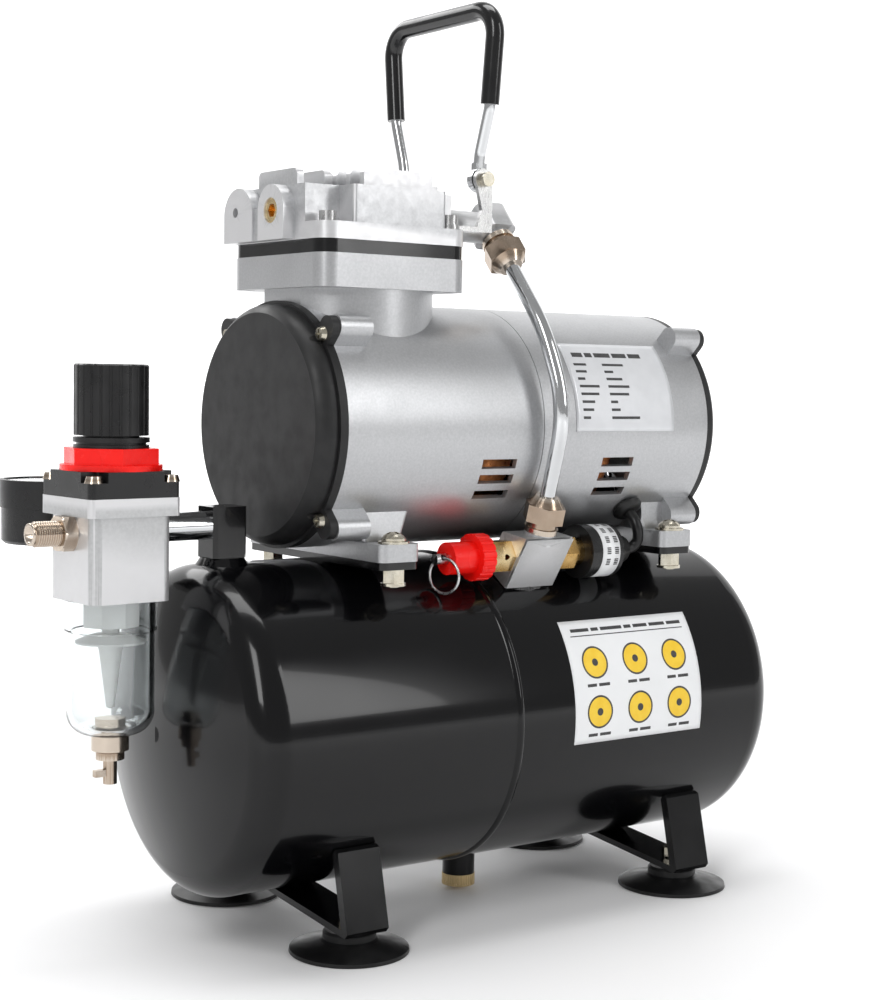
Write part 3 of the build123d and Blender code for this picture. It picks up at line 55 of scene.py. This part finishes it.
# Floor: flat under the machine, then curving up into a backdrop. In metres.
WORLD_STRENGTH = 0.42
FLOOR_FRONT = -3.0
FLOOR_BACK = 1.2
SWEEP = 1.4
SWEEP_STEPS = 14
BACKDROP_TOP = 3.8
FLOOR_HALF_WIDTH = 4.0
FLOOR_GAP = 0.0002
GLOW_START = 0.45
GLOW_END = 1.5
GLOW = 0.62

# Labels: paper and print thickness, and the clearance under the paper.
PAPER_GAP = 0.05 * MM
PAPER = 0.12 * MM
PRINT = 0.03 * MM
BAR_GAP = 1.3
MARK_RADIUS = 7.0 * MM
MARK_RIM = 6.2 * MM
MARK_DOT = 1.6 * MM

# Regulator: its column stands on this spot, turned a little to the side.
REGULATOR_X = -87.2
YAW = radians(3.2)
OUTLET_Z = 164.6

# Pressure switch: the wrap runs round the body, along X.
SWITCH_Y = -39.8
SWITCH_Z = 151.3
WRAP_INNER = 11.32
WRAP_OUTER = 11.42
WRAP_START = 69.9
WRAP_END = 79.6
WRAP_PRINT_RADIUS = 11.45

# Gauge dial, in mm and degrees.
DIAL_SPOT = (-50, 48.5, 178.0)
DIAL_RADIUS = 18.2
DIAL_BORE = 1.5
DIAL_TOP = 0.35
DIAL_ZERO = 225
DIAL_SWEEP = 270
TICKS = 50
TICK_TIP = 16.4
FIGURES = 5
FIGURE_RADIUS = 10.6
FIGURE_SIZE = 3.4 * MM

# Outlet nipple: a 1/8 inch thread behind a hexagon.
THREAD_CREST = 4.84
THREAD_ROOT = 4.25
THREAD_PITCH = 0.95
THREAD_START = 73.0
THREAD_TIP = 83.4
HEX_FLAT = 6.5
HEX_BORE_LIMIT = 5.5

# Weld: an oval bead where the manifold meets the tank.
WELD_X = 38.1 * MM
WELD_LEAN = radians(30.3)
WELD_SINK = 0.2 * MM
WELD_ROWS = 10
WELD_HEIGHT = 2.6


# ---------------------------------------------------------------- camera, light, floor

def make_camera():
    data = bpy.data.cameras.new("camera")
    data.sensor_width = SENSOR_WIDTH
    data.sensor_fit = "AUTO"
    data.lens = LENS
    data.clip_start = 0.01
    cam = bpy.data.objects.new("camera", data)
    bpy.context.scene.collection.objects.link(cam)
    az, el, roll = CAMERA_AZIMUTH, CAMERA_ELEVATION, CAMERA_ROLL
    back = Vector((sin(az) * cos(el), -cos(az) * cos(el), sin(el)))
    fwd = -back
    right = fwd.cross(Vector((0, 0, 1))).normalized()
    up = right.cross(fwd)
    r2 = right * cos(roll) + up * sin(roll)
    u2 = up * cos(roll) - right * sin(roll)
    turn = Matrix((r2, u2, back)).transposed().to_4x4()
    cam.matrix_world = Matrix.Translation(Vector(CAMERA_SPOT) * MM) @ turn
    bpy.context.scene.camera = cam


def area_light(name, spot, aim, size, power):
    data = bpy.data.lights.new(name, "AREA")
    data.shape = "RECTANGLE"
    data.size, data.size_y = size
    data.energy = power
    lamp = bpy.data.objects.new(name, data)
    lamp.location = spot
    lamp.rotation_euler = (Vector(aim) - Vector(spot)).to_track_quat("-Z", "Y").to_euler()
    bpy.context.scene.collection.objects.link(lamp)


def make_world():
    world = bpy.data.worlds.new("studio")
    world.use_nodes = True
    back = world.node_tree.nodes["Background"]
    back.inputs["Color"].default_value = (1, 1, 1, 1)
    back.inputs["Strength"].default_value = WORLD_STRENGTH
    bpy.context.scene.view_settings.view_transform = "Standard"
    bpy.context.scene.world = world


def floor_material():
    """White, and glowing a little far from the machine."""
    mat = bpy.data.materials.new("floor_white")
    mat.use_nodes = True
    tree = mat.node_tree
    shader = tree.nodes["Principled BSDF"]
    shader.inputs["Base Color"].default_value = (0.93, 0.93, 0.935, 1)
    shader.inputs["Roughness"].default_value = 0.55
    shader.inputs["Specular IOR Level"].default_value = 0.25
    shader.inputs["Emission Color"].default_value = (1, 1, 1, 1)
    spread = tree.nodes.new("ShaderNodeTexCoord")
    length = tree.nodes.new("ShaderNodeVectorMath")
    length.operation = "LENGTH"
    tree.links.new(spread.outputs["Object"], length.inputs[0])
    fade = tree.nodes.new("ShaderNodeMapRange")
    fade.inputs["From Min"].default_value = GLOW_START
    fade.inputs["From Max"].default_value = GLOW_END
    fade.inputs["To Max"].default_value = GLOW
    tree.links.new(length.outputs["Value"], fade.inputs["Value"])
    tree.links.new(fade.outputs["Result"], shader.inputs["Emission Strength"])
    return mat


def make_floor():
    mesh = bpy.data.meshes.new("floor")
    form = bmesh.new()
    profile = [(FLOOR_FRONT, 0.0), (FLOOR_BACK, 0.0)]
    for k in range(1, SWEEP_STEPS + 1):
        turn = pi / 2 * k / SWEEP_STEPS
        profile.append((FLOOR_BACK + SWEEP * sin(turn), SWEEP - SWEEP * cos(turn)))
    profile.append((FLOOR_BACK + SWEEP, BACKDROP_TOP))
    heading = Vector((sin(-CAMERA_AZIMUTH), cos(-CAMERA_AZIMUTH), 0))
    across = Vector((heading.y, -heading.x, 0))
    rows = []
    for along, height in profile:
        rows.append([form.verts.new(heading * along + across * side + Vector((0, 0, height - FLOOR_GAP)))
                     for side in (-FLOOR_HALF_WIDTH, FLOOR_HALF_WIDTH)])
    for low, high in zip(rows, rows[1:]):
        face = form.faces.new((low[0], low[1], high[1], high[0]))
        face.smooth = True
    form.to_mesh(mesh)
    form.free()
    floor = bpy.data.objects.new("floor", mesh)
    bpy.context.scene.collection.objects.link(floor)
    mesh.materials.append(floor_material())


def make_lights():
    area_light("key", (-1.25, -0.75, 1.05), (0, 0, 0.22), (0.35, 1.1), 9)
    area_light("fill", (0.75, -1.35, 0.85), (0.05, 0, 0.2), (0.35, 1.1), 6)
    area_light("rim", (-0.4, 1.3, 1.2), (0, 0, 0.2), (1.4, 0.5), 7)
    area_light("top", (0.05, 0.15, 1.7), (0, 0, 0.2), (1.3, 0.6), 13)


# ---------------------------------------------------------------- materials

class Look:
    """A procedural material built up step by step on one Principled shader."""

    def __init__(self, name, colour, rough, metal=0.0, spec=0.5):
        self.mat = bpy.data.materials.new(name)
        self.mat.use_nodes = True
        self.tree = self.mat.node_tree
        self.shader = self.tree.nodes["Principled BSDF"]
        self.shader.inputs["Metallic"].default_value = metal
        self.shader.inputs["Roughness"].default_value = rough
        self.shader.inputs["Specular IOR Level"].default_value = spec
        self.shader.inputs["Base Color"].default_value = (*colour, 1)
        self.colour = colour
        self.rough = rough
        self.coords = self.node("ShaderNodeTexCoord").outputs["Object"]
        self.height = None

    def node(self, kind, **values):
        made = self.tree.nodes.new(kind)
        for key, value in values.items():
            setattr(made, key, value)
        return made

    def link(self, a, b):
        self.tree.links.new(a, b)

    def noise(self, size_mm, detail=3.0, stretch=(1, 1, 1)):
        place = self.node("ShaderNodeMapping")
        place.inputs["Scale"].default_value = stretch
        self.link(self.coords, place.inputs["Vector"])
        tex = self.node("ShaderNodeTexNoise")
        tex.inputs["Scale"].default_value = 1000.0 / size_mm
        tex.inputs["Detail"].default_value = detail
        self.link(place.outputs["Vector"], tex.inputs["Vector"])
        return tex.outputs["Fac"]

    def ramp(self, value, low, high, a, b):
        node = self.node("ShaderNodeMapRange")
        node.inputs["From Min"].default_value = low
        node.inputs["From Max"].default_value = high
        node.inputs["To Min"].default_value = a
        node.inputs["To Max"].default_value = b
        self.link(value, node.inputs["Value"])
        return node.outputs["Result"]

    def vary(self, size_mm, amount, stretch=(1, 1, 1)):
        """Roughness that wanders by amount."""
        tex = self.noise(size_mm, 4.0, stretch)
        out = self.ramp(tex, 0.35, 0.65, self.rough - amount, self.rough + amount)
        self.link(out, self.shader.inputs["Roughness"])
        return self

    def tint(self, size_mm, other):
        """Colour that wanders towards another one."""
        mix = self.node("ShaderNodeMix", data_type="RGBA")
        mix.inputs[6].default_value = (*self.colour, 1)
        mix.inputs[7].default_value = (*other, 1)
        self.link(self.ramp(self.noise(size_mm, 5.0), 0.35, 0.7, 0, 1), mix.inputs[0])
        self.link(mix.outputs[2], self.shader.inputs["Base Color"])
        return self

    def painted_edge_highlight(self, other):
        """A lighter colour along raised edges: a painted edge highlight."""
        geometry = self.node("ShaderNodeNewGeometry")
        mix = self.node("ShaderNodeMix", data_type="RGBA")
        socket = self.shader.inputs["Base Color"]
        self.link(socket.links[0].from_socket, mix.inputs[6])
        mix.inputs[7].default_value = (*other, 1)
        self.link(self.ramp(geometry.outputs["Pointiness"], 0.515, 0.56, 0, 1), mix.inputs[0])
        self.link(mix.outputs[2], socket)
        return self

    def bump(self, size_mm, depth_mm, strength=0.6, detail=3.0, stretch=(1, 1, 1)):
        node = self.node("ShaderNodeBump")
        node.inputs["Strength"].default_value = strength
        node.inputs["Distance"].default_value = depth_mm * MM
        self.link(self.noise(size_mm, detail, stretch), node.inputs["Height"])
        if self.height:
            self.link(self.height, node.inputs["Normal"])
        self.height = node.outputs["Normal"]
        self.link(self.height, self.shader.inputs["Normal"])
        return self

    def coat(self, weight, rough):
        self.shader.inputs["Coat Weight"].default_value = weight
        self.shader.inputs["Coat Roughness"].default_value = rough
        return self

    def clear(self, ior):
        self.shader.inputs["Transmission Weight"].default_value = 1.0
        self.shader.inputs["IOR"].default_value = ior
        return self


def make_looks():
    looks = {}

    def add(name, look):
        looks[name] = look.mat

    add("tank", Look("tank_enamel", (0.002, 0.002, 0.0025), 0.14, spec=0.22).coat(0.22, 0.04)
        .vary(60, 0.03).bump(14, 0.05, 0.10, 2.0).bump(2.2, 0.008, 0.12))
    add("gloss", Look("gloss_enamel", (0.003, 0.003, 0.0035), 0.20, spec=0.3).coat(0.3, 0.06)
        .vary(20, 0.05).bump(4, 0.02, 0.18))
    add("cap", Look("cap_coating", (0.009, 0.009, 0.0095), 0.46, spec=0.35).vary(9, 0.06)
        .tint(5, (0.014, 0.014, 0.0145)).bump(0.9, 0.03, 0.35))
    add("housing", Look("housing_silver", (0.44, 0.445, 0.455), 0.36, 0.80).vary(16, 0.03)
        .tint(0.9, (0.50, 0.505, 0.515)).bump(0.45, 0.010, 0.30))
    # Cast and head alloy get a lighter colour along raised edges: a painted edge highlight.
    add("cast", Look("cast_alloy", (0.46, 0.465, 0.47), 0.38, 0.62).vary(3, 0.05)
        .tint(1.4, (0.52, 0.525, 0.53)).painted_edge_highlight((0.66, 0.66, 0.67)).bump(0.7, 0.02, 0.35))
    add("bright", Look("head_alloy", (0.47, 0.475, 0.485), 0.36, 0.66).vary(3, 0.05)
        .tint(1.2, (0.54, 0.545, 0.555)).painted_edge_highlight((0.68, 0.68, 0.69)).bump(0.6, 0.018, 0.35))
    add("chrome", Look("chrome", (0.60, 0.61, 0.62), 0.10, 1.0).vary(12, 0.03).bump(6, 0.01, 0.08))
    add("zinc", Look("zinc_plate", (0.52, 0.48, 0.385), 0.24, 1.0).vary(5, 0.06)
        .tint(4, (0.60, 0.57, 0.49)).bump(0.8, 0.01, 0.2))
    add("steel", Look("turned_steel", (0.50, 0.50, 0.50), 0.28, 1.0).vary(4, 0.08, stretch=(6, 1, 1))
        .tint(9, (0.60, 0.60, 0.59)).bump(0.7, 0.01, 0.2))
    # Nickel and brass get a lighter colour along raised edges: a painted edge highlight.
    add("nickel", Look("nickel_plate", (0.36, 0.275, 0.205), 0.22, 1.0).vary(5, 0.05)
        .tint(7, (0.43, 0.345, 0.27)).painted_edge_highlight((0.58, 0.50, 0.42)).bump(0.9, 0.01, 0.2))
    add("brass", Look("turned_brass", (0.56, 0.33, 0.10), 0.24, 1.0).vary(4, 0.06)
        .tint(6, (0.63, 0.42, 0.17)).painted_edge_highlight((0.76, 0.60, 0.34)).bump(0.8, 0.01, 0.2))
    add("copper", Look("winding_copper", (0.55, 0.22, 0.08), 0.34, 0.9).vary(3, 0.08)
        .tint(2.5, (0.36, 0.12, 0.04)).bump(0.8, 0.2, 0.8, stretch=(6, 1, 1)))
    add("rubber", Look("rubber", (0.006, 0.006, 0.0065), 0.36, spec=0.35).vary(8, 0.08)
        .tint(12, (0.010, 0.010, 0.010)).bump(1.2, 0.03, 0.3))
    add("grip", Look("dipped_grip", (0.003, 0.003, 0.0035), 0.20, spec=0.4).coat(0.3, 0.12).vary(12, 0.06)
        .bump(5, 0.05, 0.22).bump(0.8, 0.01, 0.2))
    add("plastic", Look("black_plastic", (0.007, 0.007, 0.0075), 0.30, spec=0.4).vary(8, 0.06)
        .tint(14, (0.011, 0.011, 0.0115)).bump(0.6, 0.012, 0.3))
    add("white", Look("white_plastic", (0.80, 0.80, 0.78), 0.38).vary(8, 0.05)
        .tint(9, (0.86, 0.86, 0.85)).bump(1.0, 0.01, 0.25))
    add("red", Look("red_plastic", (0.92, 0.010, 0.006), 0.25, spec=0.3).vary(8, 0.05)
        .tint(9, (0.84, 0.007, 0.005)).bump(0.9, 0.012, 0.3))
    add("clear", Look("clear_plastic", (0.93, 0.96, 0.965), 0.04).clear(1.45).vary(18, 0.02)
        .bump(9, 0.03, 0.12))
    add("paper", Look("label_white", (0.80, 0.81, 0.82), 0.32).vary(10, 0.04)
        .tint(20, (0.84, 0.85, 0.86)).bump(6, 0.01, 0.15))
    add("silver_label", Look("label_silver", (0.66, 0.67, 0.69), 0.36, 0.35).vary(10, 0.04)
        .tint(6, (0.70, 0.71, 0.73)).bump(3, 0.008, 0.15))
    add("ink", Look("label_ink", (0.03, 0.03, 0.032), 0.42).vary(5, 0.05).tint(2, (0.05, 0.05, 0.05)))
    add("yellow", Look("label_yellow", (0.86, 0.55, 0.02), 0.36).vary(5, 0.05).tint(4, (0.90, 0.62, 0.04)))
    add("weld", Look("painted_weld", (0.006, 0.006, 0.007), 0.28).coat(0.5, 0.15).vary(2, 0.1)
        .bump(1.6, 0.5, 0.9).bump(0.5, 0.1, 0.6))
    return looks


LOOK_OF = {
    "tank": ["tank_left_half", "tank_right_half"],
    "gloss": ["foot_straps", "motor_brackets", "valve_plate", "inlet_elbow"],
    "cap": ["front_cap", "rear_cap"],
    "housing": ["front_housing", "rear_housing"],
    "bright": ["head_cover"],
    "cast": ["manifold_block", "regulator_body", "outlet_elbow", "connecting_rod", "cylinder_liner"],
    "chrome": ["handle_bail", "delivery_tube", "inlet_pipe", "shaft_bearings"],
    "zinc": ["motor_mount_bolts", "cap_screws", "foot_nuts", "handle_pins"],
    "steel": ["handle_tabs", "head_screws", "motor_shaft", "rotor", "stator_core", "crank_eccentric",
              "reed_valves", "adjusting_screw", "pull_ring", "safety_valve_pin"],
    "nickel": ["compression_nuts", "bonnet_screws", "drain_stem", "drain_seat", "outlet_nipple"],
    "brass": ["drain_screw", "port_plug", "safety_valve_body", "pressure_switch_cup"],
    "copper": ["stator_coils"],
    "rubber": ["suction_feet", "switch_lead", "lead_grommet", "piston_seal"],
    "grip": ["handle_grip"],
    "plastic": ["pressure_switch_body", "regulator_bonnet", "pressure_knob", "gauge_case", "cooling_fan"],
    "red": ["safety_valve_cap", "panel_nut", "gauge_needle"],
    "white": ["filter_element"],
    "clear": ["filter_bowl", "gauge_lens"],
}


def dress_nodes(looks):
    for look, names in LOOK_OF.items():
        for name in names:
            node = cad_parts[name]
            node.data.materials.clear()
            node.data.materials.append(looks[look])


# ---------------------------------------------------------------- pieces

def new_piece(name, form, look, body, smooth=True):
    mesh = bpy.data.meshes.new(name)
    if smooth:
        for face in form.faces:
            face.smooth = True
    form.to_mesh(mesh)
    form.free()
    mesh.materials.append(look)
    piece = bpy.data.objects.new(name, mesh)
    bpy.context.scene.collection.objects.link(piece)
    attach(piece, body)
    return piece


def curved_patch(form, axis_z, radius, x0, x1, a0, a1, thick):
    """A thin sheet on a cylinder along X; angles are above the -Y horizontal, in degrees."""
    across = max(2, int((x1 - x0) / (2 * MM)))
    up = max(2, int(abs(a1 - a0) / 2))

    def at(x, angle, r):
        t = radians(angle)
        return Vector((x, -r * cos(t), axis_z + r * sin(t)))

    grids = []
    for r in (radius, radius + thick):
        rows = []
        for j in range(up + 1):
            v = j / up
            row = []
            for i in range(across + 1):
                u = i / across
                row.append(form.verts.new(at(x0 + (x1 - x0) * u, a0 + (a1 - a0) * v, r)))
            rows.append(row)
        grids.append(rows)
    low, high = grids
    for j in range(up):
        for i in range(across):
            form.faces.new((high[j][i], high[j][i + 1], high[j + 1][i + 1], high[j + 1][i]))
            form.faces.new((low[j + 1][i], low[j + 1][i + 1], low[j][i + 1], low[j][i]))
    for i in range(across):
        form.faces.new((low[0][i], low[0][i + 1], high[0][i + 1], high[0][i]))
        form.faces.new((low[up][i + 1], low[up][i], high[up][i], high[up][i + 1]))
    for j in range(up):
        form.faces.new((low[j + 1][0], low[j][0], high[j][0], high[j + 1][0]))
        form.faces.new((low[j][across], low[j + 1][across], high[j + 1][across], high[j][across]))


def disc_patch(form, axis_z, radius, x, angle, size, thick, inner=0.0):
    """A round mark, or a ring, bent over a cylinder along X."""
    count = 36
    bands = 6

    def at(px, py, r):
        t = radians(angle) + py / radius
        return form.verts.new((x + px, -r * cos(t), axis_z + r * sin(t)))

    def ring(reach, r):
        return [at(reach * cos(2 * pi * k / count), reach * sin(2 * pi * k / count), r) for k in range(count)]

    core = inner or size * 0.05
    reaches = [core + (size - core) * k / bands for k in range(bands + 1)]
    under = [ring(reach, radius) for reach in reaches]
    over = [ring(reach, radius + thick) for reach in reaches]
    for k in range(count):
        n = (k + 1) % count
        for low in range(bands):
            form.faces.new((over[low][k], over[low + 1][k], over[low + 1][n], over[low][n]))
            form.faces.new((under[low][n], under[low + 1][n], under[low + 1][k], under[low][k]))
        form.faces.new((under[-1][k], under[-1][n], over[-1][n], over[-1][k]))
        if inner:
            form.faces.new((over[0][k], over[0][n], under[0][n], under[0][k]))
    if not inner:
        form.faces.new(over[0])
        form.faces.new(under[0][::-1])


def text_lines(form, axis_z, radius, rows):
    """Rows of short blank bars, where a real label has its print."""
    for x0, angle, lengths, height in rows:
        x = x0
        for length in lengths:
            curved_patch(form, axis_z, radius, x, x + length * MM, angle, angle + height, PRINT)
            x += (length + BAR_GAP) * MM


def make_tank_label(looks):
    r = TANK_R + PAPER_GAP
    x0, x1 = 43.2 * MM, 115.2 * MM
    sheet = bmesh.new()
    curved_patch(sheet, TANK_Z, r, x0, x1, -8.5, 37.0, PAPER)
    new_piece("tank_label", sheet, looks["paper"], "frame")
    top = r + PAPER
    ink = bmesh.new()
    text_lines(ink, TANK_Z, top, [(x0 + 5 * MM, 32.4, (10, 4, 12, 4, 8, 9, 8), 1.3)])
    curved_patch(ink, TANK_Z, top, x0 + 4 * MM, x1 - 4 * MM, 30.6, 31.0, PRINT)
    gold = bmesh.new()
    for angle in (20.6, 2.6):
        for column in range(3):
            x = x0 + (13.5 + 22.6 * column) * MM
            disc_patch(gold, TANK_Z, top, x, angle, MARK_RADIUS, PRINT)
            disc_patch(ink, TANK_Z, top + PRINT, x, angle, MARK_RADIUS, PRINT, MARK_RIM)
            disc_patch(ink, TANK_Z, top + PRINT, x, angle, MARK_DOT, PRINT)
            text_lines(ink, TANK_Z, top, [(x - 6 * MM, angle - 8.8, (5, 6), 1.1)])
    new_piece("tank_label_marks", gold, looks["yellow"], "frame", False)
    new_piece("tank_label_print", ink, looks["ink"], "frame", False)


def make_rating_label(looks):
    r = MOTOR_R + PAPER_GAP
    x0, x1 = 54.2 * MM, 110.2 * MM
    sheet = bmesh.new()
    curved_patch(sheet, MOTOR_Z, r, x0, x1, -2.0, 45.0, PAPER)
    new_piece("rating_label", sheet, looks["silver_label"], "frame")
    ink = bmesh.new()
    rows = [(x0 + 5 * MM, 36.5, (6, 4, 9, 8, 7), 2.6)]
    for k, lengths in enumerate(((7, 12), (6, 5), (4, 9), (11, 12), (10, 11), (7, 4), (6, 5), (4, 16))):
        rows.append((x0 + 4 * MM, 31.5 - 3.9 * k, lengths[:1], 1.3))
        rows.append((x0 + 20 * MM, 31.5 - 3.9 * k, lengths[1:], 1.3))
    text_lines(ink, MOTOR_Z, r + PAPER, rows)
    new_piece("rating_print", ink, looks["ink"], "frame", False)


def lathe(form, profile, place, segments=64, flutes=None):
    """Turn a profile of (radius, height) pairs, in mm, about the local Z of place."""
    rings = []
    for radius, height in profile:
        ring = []
        for k in range(segments):
            t = 2 * pi * k / segments
            r = flutes(radius, t, height) if flutes else radius
            ring.append(form.verts.new(place @ Vector((r * MM * cos(t), r * MM * sin(t), height * MM))))
        rings.append(ring)
    for low, high in zip(rings, rings[1:]):
        for k in range(segments):
            n = (k + 1) % segments
            form.faces.new((low[k], low[n], high[n], high[k]))
    return rings


def close_up(form, rings):
    """Join the last ring of a lathe to its first, which makes a closed band."""
    count = len(rings[0])
    for k in range(count):
        n = (k + 1) % count
        form.faces.new((rings[-1][k], rings[-1][n], rings[0][n], rings[0][k]))


def along_x(x, y, z):
    """Matrix whose local Z runs along +X through a point in mm."""
    turn = Matrix(((0, 0, 1), (1, 0, 0), (0, 1, 0))).to_4x4()
    return Matrix.Translation(Vector((x, y, z)) * MM) @ turn


def regulator_place(along, across, z):
    """Matrix in the regulator's turned frame, local Z up."""
    x = REGULATOR_X + along * cos(YAW) - across * sin(YAW)
    y = along * sin(YAW) + across * cos(YAW)
    return Matrix.Translation(Vector((x, y, z)) * MM) @ Matrix.Rotation(YAW, 4, "Z")


def make_switch_wrap(looks):
    wrap = bmesh.new()
    place = along_x(0, SWITCH_Y, SWITCH_Z)
    band = [(WRAP_INNER, WRAP_START), (WRAP_OUTER, WRAP_START)]
    band += [(WRAP_OUTER, WRAP_END), (WRAP_INNER, WRAP_END)]
    close_up(wrap, lathe(wrap, band, place, 72))
    new_piece("switch_wrap", wrap, looks["paper"], "frame")
    ink = bmesh.new()
    r = WRAP_PRINT_RADIUS * MM
    for height, marks in ((72.2, 7), (76.6, 5)):
        for k in range(marks):
            start = radians(-118 + 25 * k)
            for j in range(4):
                a, b = start + radians(4 * j), start + radians(4 * j + 2.6)
                corners = []
                for t, h in ((a, height), (b, height), (b, height + 2.2), (a, height + 2.2)):
                    corners.append(ink.verts.new(place @ Vector((r * sin(t), r * cos(t), h * MM))))
                ink.faces.new(corners)
    bmesh.ops.solidify(ink, geom=list(ink.faces), thickness=0.02 * MM)
    new_piece("switch_wrap_print", ink, looks["ink"], "frame", False)


def make_dial(looks):
    place = regulator_place(*DIAL_SPOT)
    face = bmesh.new()
    band = [(DIAL_RADIUS, 0.05), (DIAL_RADIUS, DIAL_TOP), (DIAL_BORE, DIAL_TOP), (DIAL_BORE, 0.05)]
    close_up(face, lathe(face, band, place, 72))
    new_piece("gauge_dial", face, looks["paper"], "frame")
    make_dial_ticks(looks, place)
    make_dial_figures(looks, place)


def make_dial_ticks(looks, place):
    ink = bmesh.new()
    for k in range(TICKS + 1):
        t = radians(DIAL_ZERO - DIAL_SWEEP * k / TICKS)
        major = k % 10 == 0
        inner = 13.2 if major else (14.4 if k % 5 == 0 else 15.2)
        half = 0.32 if major else 0.16
        side = Vector((-sin(t), cos(t), 0)) * half
        ray = Vector((cos(t), sin(t), 0))
        corners = []
        for point in (ray * inner - side, ray * TICK_TIP - side, ray * TICK_TIP + side, ray * inner + side):
            corners.append(ink.verts.new(place @ ((point + Vector((0, 0, 0.38))) * MM)))
        ink.faces.new(corners)
    bmesh.ops.solidify(ink, geom=list(ink.faces), thickness=0.03 * MM)
    new_piece("gauge_ticks", ink, looks["ink"], "frame", False)


def make_dial_figures(looks, place):
    for k in range(FIGURES + 1):
        t = radians(DIAL_ZERO - DIAL_SWEEP * k / FIGURES)
        curve = bpy.data.curves.new(f"gauge_figure_{k}", "FONT")
        curve.body = str(2 * k)
        curve.size = FIGURE_SIZE
        curve.align_x = "CENTER"
        curve.align_y = "CENTER"
        curve.extrude = 0.02 * MM
        curve.materials.append(looks["ink"])
        figure = bpy.data.objects.new(f"gauge_figure_{k}", curve)
        spot = Vector((FIGURE_RADIUS * cos(t), FIGURE_RADIUS * sin(t), 0.4)) * MM
        figure.matrix_world = place @ Matrix.Translation(spot)
        bpy.context.scene.collection.objects.link(figure)
        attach(figure, "frame")


def hex_facets(radius, t, height):
    """Cut the outer rings of a lathe to a hexagon, and leave the bore round."""
    if radius < HEX_BORE_LIMIT:
        return radius
    return min(radius, HEX_FLAT / cos((t % (pi / 3)) - pi / 6))


def make_outlet_thread(looks):
    """Hex nipple with a cut thread and an open bore, in place of the plain one."""
    turn = Matrix(((0, 0, -1), (-1, 0, 0), (0, 1, 0))).to_4x4()
    place = regulator_place(0, 0, OUTLET_Z) @ turn
    form = bmesh.new()
    profile = [(4.7, 72.6)]
    for k in range(int((THREAD_TIP - THREAD_START) / THREAD_PITCH)):
        z = THREAD_START + k * THREAD_PITCH
        profile += [(THREAD_ROOT, z), (THREAD_CREST, z + 0.36 * THREAD_PITCH)]
        profile += [(THREAD_CREST, z + 0.5 * THREAD_PITCH), (THREAD_ROOT, z + 0.86 * THREAD_PITCH)]
    profile += [(THREAD_ROOT, THREAD_TIP), (4.3, 84.1), (2.9, 84.15), (2.9, 70.0)]
    lathe(form, profile, place, 48)
    new_piece("outlet_thread", form, looks["nickel"], "frame")
    nut = bmesh.new()
    profile = [(4.2, 67.02), (6.7, 67.02), (7.5, 67.6), (7.5, 72.0), (6.7, 72.68), (4.2, 72.68), (3.0, 72.68)]
    lathe(nut, profile, place, 96, hex_facets)
    hexagon = new_piece("outlet_hex", nut, looks["nickel"], "frame", False)
    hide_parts("outlet_nipple")


def make_weld(looks):
    """Rough painted fillet where the manifold meets the tank."""
    form = bmesh.new()
    loop = []
    out = Vector((0, -sin(WELD_LEAN), cos(WELD_LEAN)))
    side = Vector((0, cos(WELD_LEAN), sin(WELD_LEAN)))
    centre = Vector((WELD_X, 0, TANK_Z)) + out * (TANK_R - WELD_SINK)
    segments = 64
    for j in range(WELD_ROWS + 1):
        v = j / WELD_ROWS
        ring = []
        for k in range(segments):
            t = 2 * pi * k / segments
            ripple = 0.35 * sin(11 * t) + 0.22 * sin(23 * t + 1.3)
            rx = (11.8 - 2.6 * v + ripple * (1 - v)) * MM
            ry = (9.0 - 2.8 * v + ripple * (1 - v)) * MM
            point = centre + Vector((1, 0, 0)) * rx * cos(t) + side * ry * sin(t)
            drop = TANK_R - sqrt(max(TANK_R ** 2 - (ry * sin(t)) ** 2, 0))
            lift = (WELD_HEIGHT * sin(v * pi / 2)) * MM
            ring.append(form.verts.new(point + out * (lift - drop - WELD_SINK)))
        loop.append(ring)
    for low, high in zip(loop, loop[1:]):
        for k in range(segments):
            n = (k + 1) % segments
            form.faces.new((low[k], low[n], high[n], high[k]))
    form.faces.new(loop[-1])
    new_piece("manifold_weld", form, looks["weld"], "frame")


make_camera()
make_world()
make_floor()
make_lights()
looks = make_looks()
dress_nodes(looks)
make_tank_label(looks)
make_rating_label(looks)
make_switch_wrap(looks)
make_dial(looks)
make_outlet_thread(looks)
make_weld(looks)
